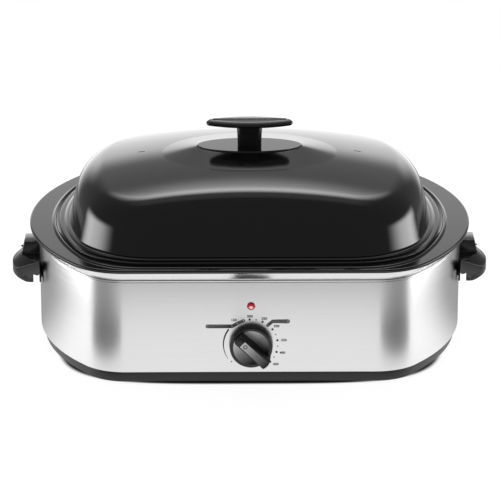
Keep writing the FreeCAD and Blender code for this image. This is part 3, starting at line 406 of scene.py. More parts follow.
@dataclass
class Wrap:
    """Brushed stainless wrap with hems turned in at both edges, and what is set in it."""

    flat: float = 0.150
    end_radius: float = 0.272
    sheet: float = 0.0008
    hem: float = 0.008
    cord_hole: float = 0.0066
    bend: float = 0.0012

    def line(self) -> Outline:
        """The wrap's outside outline."""
        low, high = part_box("outer_wrap")
        return Outline((high.x - low.x) / 2.0, (high.y - low.y) / 2.0, self.flat, self.end_radius)

    def build(self) -> None:
        """Make the wrap."""
        low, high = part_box("outer_wrap")
        shell = RingShell()
        line = self.line()
        points = [(-self.hem, low.z)]
        points += arc((-self.bend, low.z + self.bend), self.bend, -90.0, 0.0, 4)
        points += arc((-self.bend, high.z - self.bend), self.bend, 0.0, 90.0, 4)
        points += [(-self.hem, high.z)]
        shell.profile(line, points)
        made = finish_mesh(shell.bm, "stainless_wrap", Vector((0, middle_y(), 0)))
        thicken(made, self.sheet, -1.0)
        rim_low, rim_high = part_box("cord_grommet")
        cutter = bmesh.new()
        spot = Vector(((rim_low.x + rim_high.x) / 2.0, rim_low.y - 0.01, (rim_low.z + rim_high.z) / 2.0))
        lathe(cutter, [(0.0, 0.0), (self.cord_hole, 0.0), (self.cord_hole, 0.03), (0.0, 0.03)], spot,
              Vector((0, 1, 0)), 40)
        carve(made, cutter)
        dress(made, STAINLESS, "base_unit", ["outer_wrap"])


@dataclass
class Collar:
    """Polished rim between the wrap and the pan: bead, groove and slanted band."""

    top_half_width: float = 0.2685
    top_half_depth: float = 0.201
    top_flat: float = 0.149
    top_end_radius: float = 0.279
    bead: float = 0.0026
    proud: float = 0.0008
    groove: float = 0.001
    groove_depth: float = 0.0008
    edge: float = 0.0004
    turn_down: float = 0.0018
    tuck: float = 0.004
    brim: float = 0.020
    sheet: float = 0.0012

    def build(self, wrap: Outline) -> None:
        """Make the collar over the wrap's outline."""
        low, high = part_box("rim_collar")
        top = Outline(self.top_half_width, self.top_half_depth, self.top_flat, self.top_end_radius)
        shell = RingShell()
        foot = low.z
        half = self.bead / 2.0
        shell.profile(wrap, [(-self.tuck, foot)])
        shell.profile(wrap, arc((self.proud - half, foot + half), half, -90.0, 90.0, 8))
        band = foot + self.bead + self.groove
        e = self.edge
        shell.profile(wrap, [(-self.groove_depth, foot + self.bead), (-self.groove_depth, band),
                             (self.proud * 0.5 - e, band), (self.proud * 0.5, band + e)])
        bend = high.z - self.turn_down
        shell.profile(top, [(-e, bend - 1.5 * e), (0.0, bend), (0.0, high.z - e), (-e, high.z),
                            (-self.brim, high.z), (-self.brim - 0.5 * e, high.z - self.tuck)])
        made = finish_mesh(shell.bm, "polished_collar", Vector((0, middle_y(), 0)))
        thicken(made, self.sheet * 0.5, -1.0)
        dress(made, POLISHED, "base_unit", ["rim_collar"])


@dataclass
class Well:
    """Aluminised liner that hangs from the collar."""

    flat: float = 0.115
    end_radius: float = 0.352
    half_width: float = 0.234
    half_depth: float = 0.178
    draft: float = 4.0
    fillet: float = 0.016
    sheet: float = 0.001

    def build(self) -> None:
        """Make the well from its floor to its flange."""
        low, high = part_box("heating_well")
        line = Outline(self.half_width, self.half_depth, self.flat, self.end_radius)
        flange = (high.x - low.x) / 2.0 - self.half_width
        floor = low.z + self.sheet
        drawn = (high.z - floor) * math.tan(math.radians(self.draft))
        shell = RingShell()
        centre = (-drawn - self.fillet + 0.001, floor + self.fillet)
        shell.profile(line, [(-drawn - 0.06, floor)])
        shell.profile(line, arc(centre, self.fillet, -90.0, -4.0, 8))
        shell.profile(line, [(0.0, high.z - 0.0005), (0.0005, high.z), (flange, high.z)])
        made = finish_mesh(shell.bm, "liner_well", Vector((0, middle_y(), 0)))
        thicken(made, self.sheet, 0.0)
        dress(made, ALUMINISED, "base_unit", ["heating_well"])


@dataclass
class Pan:
    """Black enamelled pan: drafted tub, ledge for the lid, raised bead and rolled flange."""

    tub_half_width: float = 0.226
    tub_half_depth: float = 0.173
    tub_flat: float = 0.115
    tub_end_radius: float = 0.352
    bead_half_width: float = 0.242
    bead_half_depth: float = 0.1986
    bead_flat: float = 0.130
    bead_end_radius: float = 0.330
    flange_flat: float = 0.149
    flange_end_radius: float = 0.283
    bead_radius: float = 0.0022
    draft: float = 4.0
    fillet: float = 0.020
    roll: float = 0.0018
    sheet: float = 0.0012

    def build(self) -> None:
        """Make the pan from the middle of its floor out to the rolled lip."""
        low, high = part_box("roasting_pan")
        floor = low.z + self.sheet
        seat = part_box("lid_shell")[0].z
        lip_foot = seat - self.sheet - 0.003
        tub = Outline(self.tub_half_width, self.tub_half_depth, self.tub_flat, self.tub_end_radius)
        bead = Outline(self.bead_half_width, self.bead_half_depth, self.bead_flat, self.bead_end_radius)
        flange = Outline((high.x - low.x) / 2.0, (high.y - low.y) / 2.0, self.flange_flat,
                         self.flange_end_radius)
        drawn = (seat - self.sheet - floor) * math.tan(math.radians(self.draft))
        shell = RingShell()
        centre = (-drawn - self.fillet + 0.0012, floor + self.fillet)
        shell.profile(tub, [(-drawn - 0.06, floor)])
        shell.cap()
        shell.profile(tub, arc(centre, self.fillet, -90.0, -4.0, 10))
        shell.profile(tub, arc((0.0025, seat - 0.0025), 0.0025, 180.0, 90.0, 5))
        r = self.bead_radius
        shell.profile(bead, [(-r - 0.003, seat), (-r - 0.0006, seat)])
        shell.profile(bead, arc((0.0, seat - 0.0002), r, 160.0, 20.0, 10))
        shell.profile(bead, [(r + 0.0006, seat), (r + 0.0015, seat)])
        shell.profile(flange, [(-self.roll - 0.0012, seat), (-self.roll - 0.0006, seat)])
        shell.profile(flange, arc((-self.roll, seat - self.roll), self.roll, 90.0, 0.0, 7))
        shell.profile(flange, [(0.0, lip_foot + 0.0008)])
        shell.profile(flange, arc((-0.0008, lip_foot + 0.0008), 0.0008, 0.0, -90.0, 4))
        shell.profile(flange, [(-0.0014, lip_foot)])
        made = finish_mesh(shell.bm, "enamel_pan", Vector((0, middle_y(), 0)))
        thicken(made, self.sheet, -1.0)
        dress(made, ENAMEL, "pan", ["roasting_pan"])


@dataclass
class Lid:
    """Domed enamel lid: rim, drafted wall, rounded shoulder, crown and the oval seat for the grip."""

    rim_flat: float = 0.122
    rim_end_radius: float = 0.340
    dome_half_width: float = 0.223
    dome_half_depth: float = 0.170
    dome_flat: float = 0.115
    dome_end_radius: float = 0.350
    rim_height: float = 0.0048
    draft: float = 14.0
    shoulder: float = 0.045
    crown_x: float = 0.950
    crown_y: float = 0.680
    dome_height: float = 0.083
    ring_x: float = 0.108
    ring_y: float = 0.079
    rise: float = 0.0023
    disc_x: float = 0.065
    disc_y: float = 0.030
    step: float = 0.0017
    disc_edge: float = 0.0008
    foot_fillet: float = 0.0012
    vent_x: float = 0.134
    vent_y: float = 0.015
    vent_length: float = 0.009
    vent_width: float = 0.0024
    rim_round: float = 0.0014
    ledge: float = 0.0018
    ledge_round: float = 0.0080
    sheet: float = 0.0012
    rim_top: float = field(init=False)

    def __post_init__(self) -> None:
        """Read the height of the rim's upper face from the frame."""
        self.rim_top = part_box("lid_shell")[0].z + self.rim_height

    def crown(self, x: float, y: float) -> float:
        """Height of the plain crown over a point of the plan."""
        top = self.rim_top + self.dome_height
        return top - x * x / (2.0 * self.crown_x) - y * y / (2.0 * self.crown_y)

    def shoulder_section(self, line: Outline,
                         around: float) -> tuple[Vector, Vector, float, Vector, float, float]:
        """Fit the shoulder's ball between wall and crown at one place round the lid.

        Args:
            line: Outline of the dome's foot.
            around: Share of the way round.

        Returns:
            The foot point, the inward direction, the wall's length up to the shoulder, the ball's centre as
            inward distance and height, and the outward angles where the ball leaves the wall and the crown.
        """
        foot, out = line.spot(around)
        inward = -out
        lean = math.radians(self.draft)
        reach, run = 0.05, 0.0
        slope = 0.1
        for _ in range(12):
            near = foot + inward * reach
            ahead = foot + inward * (reach + 0.0005)
            height = self.crown(near.x, near.y)
            slope = (self.crown(ahead.x, ahead.y) - height) / 0.0005
            scale = math.hypot(1.0, slope)
            run = height - self.shoulder / scale + self.shoulder * math.sin(lean) - self.rim_top
            run /= math.cos(lean)
            reach = run * math.sin(lean) + self.shoulder * math.cos(lean) - self.shoulder * slope / scale
        centre = Vector((run * math.sin(lean) + self.shoulder * math.cos(lean),
                         self.rim_top + run * math.cos(lean) - self.shoulder * math.sin(lean), 0.0))
        return foot, inward, run, centre, lean, math.pi / 2.0 - math.atan(slope)

    def dome_rule(self, line: Outline, share: float, on_wall: bool) -> Rule:
        """Rule for a ring on the wall or on the shoulder.

        Args:
            line: Outline of the dome's foot.
            share: How far up the wall, or how far over the shoulder, from 0 to 1.
            on_wall: Whether the ring lies on the wall.
        """
        def rule(around: float) -> Vector:
            foot, inward, run, centre, start, end = self.shoulder_section(line, around)
            if on_wall:
                low = self.foot_fillet
                along = low + (run - low) * share
                return (foot + inward * (along * math.sin(start))
                        + Vector((0, 0, self.rim_top + along * math.cos(start))))
            angle = start + (end - start) * share
            across = centre.x - self.shoulder * math.cos(angle)
            return foot + inward * across + Vector((0, 0, centre.y + self.shoulder * math.sin(angle)))
        return rule

    def crown_rule(self, line: Outline, share: float) -> Rule:
        """Rule for a ring on the crown, between the shoulder's inner edge and the oval ring."""
        edge = self.dome_rule(line, 1.0, False)

        def rule(around: float) -> Vector:
            start = edge(around)
            oval = self.oval(start, self.ring_x, self.ring_y)
            spot = start.lerp(oval, share)
            return Vector((spot.x, spot.y, self.crown(spot.x, spot.y)))
        return rule

    def oval(self, towards: Vector, half_x: float, half_y: float) -> Vector:
        """Point of an oval about the middle that lies towards another point."""
        angle = math.atan2(towards.y / self.dome_half_depth, towards.x / self.dome_half_width)
        return Vector((half_x * math.cos(angle), half_y * math.sin(angle), 0.0))

    def cone_rule(self, line: Outline, share: float) -> Rule:
        """Rule for a ring on the shallow cone between the oval ring and the foot of the disc."""
        edge = self.dome_rule(line, 1.0, False)
        top = self.rim_top + self.dome_height + self.rise

        def rule(around: float) -> Vector:
            start = edge(around)
            outer = self.oval(start, self.ring_x, self.ring_y)
            inner = self.oval(start, self.disc_x + 0.0012, self.disc_y + 0.0012)
            spot = outer.lerp(inner, share)
            low = self.crown(outer.x, outer.y)
            return Vector((spot.x, spot.y, low + (top - low) * share))
        return rule

    def disc_rule(self, line: Outline, inset: float, height: float) -> Rule:
        """Rule for a ring on the raised disc, an inset in from its edge."""
        edge = self.dome_rule(line, 1.0, False)
        top = self.rim_top + self.dome_height + self.rise

        def rule(around: float) -> Vector:
            spot = self.oval(edge(around), self.disc_x - inset, self.disc_y - inset)
            return Vector((spot.x, spot.y, top + height))
        return rule

    def build(self) -> None:
        """Make the lid's shell from the foot of its rim to the middle of its disc."""
        low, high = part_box("lid_shell")
        rim = Outline((high.x - low.x) / 2.0, (high.y - low.y) / 2.0, self.rim_flat, self.rim_end_radius)
        dome = Outline(self.dome_half_width, self.dome_half_depth, self.dome_flat, self.dome_end_radius)
        top = self.rim_top
        shell = RingShell()
        shell.profile(rim, [(0.0, low.z)])
        flat = top - self.ledge
        shell.profile(rim, arc((-self.rim_round, flat - self.rim_round), self.rim_round, 0.0, 90.0, 5))
        r, curl = self.foot_fillet, self.ledge_round
        leave = math.asin(1.0 - self.ledge / curl)
        edge = r + 0.0004 + curl * math.cos(leave)
        shell.profile(dome, [(edge + 0.0008, flat), (edge + 0.0003, flat)])
        shell.profile(dome, arc((r + 0.0004, top - curl), curl, math.degrees(leave), 90.0, 8))
        shell.profile(dome, arc((r - 0.0003, top + r), r, 270.0, 190.0, 5))
        for step in range(1, 7):
            shell.ring(self.dome_rule(dome, step / 6.0, True))
        for step in range(1, 17):
            shell.ring(self.dome_rule(dome, step / 16.0, False))
        for share in (0.12, 0.25, 0.38, 0.52, 0.66, 0.8, 0.92, 0.985, 1.0):
            shell.ring(self.crown_rule(dome, share))
        for share in (0.03, 0.12, 0.3, 0.5, 0.7, 0.88, 0.97, 1.0):
            shell.ring(self.cone_rule(dome, share))
        shell.ring(self.disc_rule(dome, -0.0003, 0.0002))
        for inset, drop in ((0.0, 0.0007), (0.0003, 0.0002), (self.disc_edge, 0.0),
                            (2.5 * self.disc_edge, 0.0)):
            shell.ring(self.disc_rule(dome, inset, self.step - drop))
        shell.cap()
        made = finish_mesh(shell.bm, "enamel_lid", Vector((0, middle_y(), 0)))
        thicken(made, self.sheet, -1.0)
        cutter = bmesh.new()
        for x in (-self.vent_x, self.vent_x):
            slot = Oval(self.vent_length / 2.0, self.vent_width / 2.0, self.vent_width / 2.0 * 0.98)
            place = Vector((x, middle_y() + self.vent_y, top))
            ring = [slot.spot(index / 24.0)[0] + place for index in range(24)]
            prism(cutter, ring, Vector((0, 0, self.dome_height + 0.01)))
        carve(made, cutter)
        dress(made, ENAMEL, "lid", ["lid_shell"])


@dataclass(frozen=True)
class Oval:
    """Oval of four tangent arcs, read in the same way as an Outline."""

    half_width: float
    half_depth: float
    end_radius: float

    def inset(self, gap: float) -> "Oval":
        """The parallel oval a gap further in."""
        return Oval(self.half_width - gap, self.half_depth - gap, self.end_radius - gap)

    def spot(self, around: float) -> tuple[Vector, Vector]:
        """Point and outward direction at a share of the way round, from the middle of the front."""
        quarter = int(around * 4.0) % 4
        share = around * 4.0 - int(around * 4.0)
        if quarter % 2:
            share = 1.0 - share
        end_x = self.half_width - self.end_radius
        spare = end_x ** 2 + self.half_depth ** 2 - self.end_radius ** 2
        side_radius = spare / (2.0 * (self.half_depth - self.end_radius))
        turn = math.atan2(end_x, side_radius - self.half_depth)
        angle = turn * share * 2.0 if share <= 0.5 else turn + (math.pi / 2.0 - turn) * (share * 2.0 - 1.0)
        out = Vector((math.sin(angle), -math.cos(angle), 0.0))
        if share <= 0.5:
            point = Vector((0.0, side_radius - self.half_depth, 0.0)) + out * side_radius
        else:
            point = Vector((end_x, 0.0, 0.0)) + out * self.end_radius
        turned = Vector((1.0 if quarter < 2 else -1.0, 1.0 if quarter in (0, 3) else -1.0, 1.0))
        return point * turned, out * turned


def chain(bm: bmesh.types.BMesh, points: Iterable[Vector], closed: bool = False) -> list[bmesh.types.BMEdge]:
    """Join points into a run of edges.

    Args:
        bm: The mesh they go into.
        points: The points in order.
        closed: Whether the last joins the first.

    Returns:
        The edges.
    """
    verts = [bm.verts.new(point) for point in points]
    pairs = list(zip(verts, verts[1:]))
    if closed:
        pairs.append((verts[-1], verts[0]))
    return [bm.edges.new(pair) for pair in pairs]


def lathe(bm: bmesh.types.BMesh, points: Sequence[tuple[float, float]], centre: Vector, axis: Vector,
          steps: int = 64, closed: bool = False) -> None:
    """Spin a profile about an axis.

    Args:
        bm: The mesh it goes into.
        points: Radius and distance along the axis of each point.
        centre: Where the axis starts.
        axis: Its direction.
        steps: Number of spans round.
        closed: Whether the profile is a closed ring.
    """
    turn = axis.to_track_quat("Z", "Y").to_matrix().to_4x4()
    place = Matrix.Translation(centre) @ turn
    edges = chain(bm, [place @ Vector((radius, 0.0, along)) for radius, along in points], closed)
    verts = {vert for edge in edges for vert in edge.verts}
    bmesh.ops.spin(bm, geom=list(verts) + edges, cent=centre, axis=axis, angle=2.0 * math.pi, steps=steps,
                   use_merge=True)


def prism(bm: bmesh.types.BMesh, points: Iterable[Vector], along: Vector) -> list[bmesh.types.BMVert]:
    """Extrude a flat polygon into a solid.

    Args:
        bm: The mesh it goes into.
        points: Corners of the polygon.
        along: The extrusion.

    Returns:
        The corners of the far face.
    """
    edges = chain(bm, points, True)
    face = bmesh.ops.contextual_create(bm, geom=edges)["faces"][0]
    grown = bmesh.ops.extrude_face_region(bm, geom=[face], use_keep_orig=True)["geom"]
    far = [item for item in grown if isinstance(item, bmesh.types.BMVert)]
    bmesh.ops.translate(bm, verts=far, vec=along)
    return far


def bar_box(bm: bmesh.types.BMesh, low: Vector, high: Vector) -> None:
    """Add a plain box between two corners."""
    size = high - low
    place = Matrix.Translation((low + high) / 2.0) @ Matrix.Diagonal((*size, 1.0))
    bmesh.ops.create_cube(bm, size=1.0, matrix=place)


def tube(bm: bmesh.types.BMesh, path: Sequence[Vector], radius: float, sides: int = 12,
         closed: bool = False) -> None:
    """Sweep a round wire along a path, a circle at each point.

    Args:
        bm: The mesh it goes into.
        path: Points of the centre line.
        radius: The wire's radius.
        sides: Number of sides.
        closed: Whether the path is a ring.
    """
    count = len(path)
    turn = None
    heading = None
    loop: list[bmesh.types.BMEdge] = []
    first: list[bmesh.types.BMEdge] = []
    for index, point in enumerate(path):
        ahead = path[(index + 1) % count] if closed or index + 1 < count else point
        behind = path[index - 1] if closed or index else point
        aim = (ahead - behind).normalized()
        turn = aim.to_track_quat("Z", "Y") if turn is None else heading.rotation_difference(aim) @ turn
        heading = aim
        place = Matrix.Translation(point) @ turn.to_matrix().to_4x4()
        before = set(bm.edges)
        bmesh.ops.create_circle(bm, segments=sides, radius=radius, matrix=place,
                                cap_ends=not closed and index in (0, count - 1))
        fresh = [edge for edge in bm.edges if edge not in before]
        rim = [edge for edge in fresh if len(edge.link_faces) < 2]
        if loop:
            bmesh.ops.bridge_loops(bm, edges=loop + rim)
        else:
            first = rim
        loop = rim
    if closed:
        bmesh.ops.bridge_loops(bm, edges=loop + first)


def soften(piece: bpy.types.Object, width: float, segments: int = 2, angle: float = 35.0) -> None:
    """Round a piece's sharp edges."""
    edge = piece.modifiers.new("edges", "BEVEL")
    edge.width = width
    edge.segments = segments
    edge.limit_method = "ANGLE"
    edge.angle_limit = math.radians(angle)
    edge.harden_normals = False


def settle(piece: bpy.types.Object) -> None:
    """Apply a piece's modifiers and mark its sharp edges again."""
    bpy.context.view_layer.update()
    ready = piece.evaluated_get(bpy.context.evaluated_depsgraph_get())
    mesh = bpy.data.meshes.new_from_object(ready)
    piece.modifiers.clear()
    piece.data = mesh
    mesh.shade_smooth()
    mesh.set_sharp_from_angle(angle=SHARP_ANGLE)


def carve(piece: bpy.types.Object, cutter: bmesh.types.BMesh) -> None:
    """Cut a closed mesh out of a piece, and apply what the piece carries.

    Args:
        piece: The piece.
        cutter: The mesh to take away, which is freed.
    """
    knife = finish_mesh(cutter, "knife")
    cut = piece.modifiers.new("cut", "BOOLEAN")
    cut.operation = "DIFFERENCE"
    cut.solver = "EXACT"
    cut.object = knife
    settle(piece)
    bpy.data.objects.remove(knife)


@dataclass
class Tray:
    """Black plastic base under the wrap, stepped in at its foot, and its four rubber feet."""

    inset: float = 0.005
    floor_inset: float = 0.080
    step: float = 0.0016
    edge: float = 0.0006
    foot_edge: float = 0.0005

    def build(self, wrap: Outline) -> None:
        """Make the tray under the wrap's outline, then the feet."""
        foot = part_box("base_tray")[0].z
        line = wrap.inset(self.inset)
        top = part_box("outer_wrap")[0].z
        shell = RingShell()
        shell.profile(line, [(-self.floor_inset, foot)])
        shell.cap()
        e = self.edge
        shell.profile(line, [(-self.step - e, foot), (-self.step, foot + e), (-self.step, foot + self.step),
                             (-e, foot + self.step)])
        shell.profile(line, arc((-e, foot + self.step + e), e, -90.0, 0.0, 4)[1:])
        shell.profile(line, [(0.0, top - e), (-e * 0.3, top - e * 0.3), (-e, top), (-0.012, top)])
        made = finish_mesh(shell.bm, "base_tray_shell", Vector((0, middle_y(), 0)))
        dress(made, TRAY, "base_unit", ["base_tray"])
        for node in ("foot_front_left", "foot_front_right", "foot_rear_left", "foot_rear_right"):
            self.foot(node)

    def foot(self, node: str) -> None:
        """Make one foot pad with softened edges."""
        low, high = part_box(node)
        centre = Vector(((low.x + high.x) / 2.0, (low.y + high.y) / 2.0, low.z))
        radius = (high.x - low.x) / 2.0
        e = self.foot_edge
        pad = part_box("base_tray")[0].z - low.z + e
        bm = bmesh.new()
        lathe(bm, [(0.0, 0.0), (radius - e, 0.0), (radius, e), (radius, pad), (0.0, pad)], centre,
              Vector((0, 0, 1)), 40)
        made = finish_mesh(bm, "rubber_" + node)
        dress(made, RUBBER, "base_unit", [node])


@dataclass
class SideHandle:
    """Moulded carrying handle: bowed lug with a sloping shelf, mounting block and finger notches."""

    side: float
    node: str
    reach: float = 0.03448
    nose_radius: float = 0.082
    half_span: float = 0.055
    crease: float = 0.092
    shelf: float = 0.104
    shelf_reach: float = 0.0215
    shelf_radius: float = 0.069
    shelf_half_span: float = 0.045
    root: float = 0.030
    wall: float = 0.0026
    plate: float = 0.003
    corner: float = 0.0042
    lug_edge: float = 0.0007
    block_half: float = 0.0164
    block_reach_top: float = 0.0185
    block_reach_foot: float = 0.0225
    block_fillet: float = 0.0022
    block_edge: float = 0.0014
    notch_top: float = 0.0935
    plate_lift: float = 0.005
    notch_reach: float = 0.0055
    notch_inner: float = 0.040
    notch_outer: float = 0.070
    rib: float = 0.0018
    rib_spacing: float = 0.024
    nose_steps: int = 40

    def plan(self, end: float, reach: float, radius: float, half_span: float, z: float) -> list[Vector]:
        """Points of the bowed plan on the -X side, from one cheek's root round the nose to the other's.

        Args:
            end: X of the wrap's end.
            reach: How far the nose stands out from it.
            radius: Radius of the nose arc.
            half_span: Half of the plan's width.
            z: Height of the points.

        Returns:
            The points.
        """
        nose = -end - reach
        turn = math.asin(half_span / radius)
        root = -end + self.root
        points = [Vector((root, -half_span, z))]
        for index in range(self.nose_steps + 1):
            angle = -turn + 2.0 * turn * index / self.nose_steps
            points.append(Vector((nose + radius - radius * math.cos(angle), radius * math.sin(angle), z)))
        points.append(Vector((root, half_span, z)))
        return points

    def lug(self, end: float, foot: float) -> bpy.types.Object:
        """Make the hollow lug: upright wall, sloping shelf and flat top."""
        bm = bmesh.new()
        edges = chain(bm, self.plan(end, self.reach, self.nose_radius, self.half_span, foot))
        levels = [self.plan(end, self.reach, self.nose_radius, self.half_span, self.crease),
                  self.plan(end, self.shelf_reach, self.shelf_radius, self.shelf_half_span, self.shelf)]
        row = [edge.verts[0] for edge in edges] + [edges[-1].verts[1]]
        for level in levels:
            grown = bmesh.ops.extrude_edge_only(bm, edges=edges)["geom"]
            fresh = {item for item in grown if isinstance(item, bmesh.types.BMVert)}
            row = [next(edge.other_vert(vert) for edge in vert.link_edges if edge.other_vert(vert) in fresh)
                   for vert in row]
            for vert, place in zip(row, level):
                vert.co = place
            edges = [item for item in grown if isinstance(item, bmesh.types.BMEdge)
                     and item.verts[0] in fresh and item.verts[1] in fresh]
        top = bm.edges.new((row[0], row[-1]))
        bmesh.ops.contextual_create(bm, geom=edges + [top])
        bm.edges.ensure_lookup_table()
        cheek = [edge for edge in bm.edges if abs(edge.verts[0].co.z - edge.verts[1].co.z) > 0.005
                 and len(edge.link_faces) == 2 and edge.calc_face_angle(0.0) > 0.35]
        bmesh.ops.bevel(bm, geom=cheek, offset=self.corner, segments=5, profile=0.5, affect="EDGES",
                        material=-1)
        made = finish_mesh(bm, "side_handle_" + ("right" if self.side > 0 else "left"))
        thicken(made, self.wall, -1.0)
        return made

    def block(self, bm: bmesh.types.BMesh, end: float, high: float) -> None:
        """Add the mounting block with rounded edges and a fillet at its foot."""
        half = self.block_half
        root = -end + self.root
        foot = -end - self.block_reach_foot
        top = -end - self.block_reach_top
        before = set(bm.edges)
        prism(bm, [Vector((root, -half, self.shelf - 0.006)), Vector((foot, -half, self.shelf - 0.001)),
                   Vector((top, -half, high)), Vector((root, -half, high))], Vector((0, 2.0 * half, 0)))
        rims = [edge for edge in bm.edges if edge not in before
                and min(vert.co.x for vert in edge.verts) < root - 0.001
                and max(vert.co.z for vert in edge.verts) > self.shelf]
        bmesh.ops.bevel(bm, geom=rims, offset=self.block_edge, segments=3, profile=0.5, affect="EDGES",
                        material=-1)
        r = self.block_fillet
        for way in (-1.0, 1.0):
            curve = [Vector((foot + 0.0006, way * (half + offset), self.shelf + height))
                     for offset, height in arc((r, r), r, 180.0, 270.0, 6)]
            corner = [Vector((foot + 0.0006, way * (half - 0.001), self.shelf - 0.001))]
            prism(bm, curve + corner, Vector((root - foot - 0.002, 0, 0)))

    def stiffen(self, bm: bmesh.types.BMesh, end: float, foot: float, wrap: Outline) -> None:
        """Add the plate against the wrap and the ribs inside the lug."""
        outer = wrap.inset(-self.plate)
        inner = wrap.inset(0.002)
        shares = [0.75 + (index / 12.0 - 0.5) * 0.15 for index in range(13)]
        near = [inner.spot(share)[0] for share in shares]
        far = [outer.spot(share)[0] for share in reversed(shares)]
        reach = self.half_span - 0.001
        low = foot + self.plate_lift
        ring = [Vector((point.x, max(-reach, min(reach, point.y)), low)) for point in near + far]
        prism(bm, ring, Vector((0, 0, self.shelf - 0.001 - low)))
        for y in (-self.rib_spacing, 0.0, self.rib_spacing):
            nose = math.sqrt((self.shelf_radius - self.wall) ** 2 - y ** 2)
            tip = -end - self.shelf_reach + self.shelf_radius - nose
            bar_box(bm, Vector((tip, y - self.rib / 2.0, self.crease + 0.002)),
                    Vector((-end - 0.001, y + self.rib / 2.0, self.shelf - 0.001)))

    def build(self, wrap: Outline) -> None:
        """Make the handle at its end of the wrap."""
        low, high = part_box(self.node)
        end = wrap.half_width
        made = self.lug(end, low.z)
        soften(made, self.lug_edge, 2, 20.0)
        cutter = bmesh.new()
        for way in (-1.0, 1.0):
            near, far = sorted((way * self.notch_inner, way * self.notch_outer))
            bar_box(cutter, Vector((-end - self.notch_reach, near, low.z - 0.01)),
                    Vector((-end + 0.002, far, self.notch_top)))
        carve(made, cutter)
        bm = bmesh.new()
        bm.from_mesh(made.data)
        self.block(bm, end, high.z)
        self.stiffen(bm, end, low.z, wrap)
        bmesh.ops.bisect_plane(bm, geom=list(bm.verts) + list(bm.edges) + list(bm.faces),
                               plane_co=Vector((-end + 0.004, 0, 0)), plane_no=Vector((1, 0, 0)),
                               clear_outer=True)
        if self.side > 0:
            bmesh.ops.scale(bm, vec=Vector((-1, 1, 1)), verts=bm.verts)
            bmesh.ops.reverse_faces(bm, faces=bm.faces)
        old = made.data
        piece = finish_mesh(bm, "moulded_handle_" + ("right" if self.side > 0 else "left"),
                            Vector((0, middle_y(), 0)), recalc=False)
        bpy.data.objects.remove(made)
        bpy.data.meshes.remove(old)
        dress(piece, MOULDING, "base_unit", [self.node])


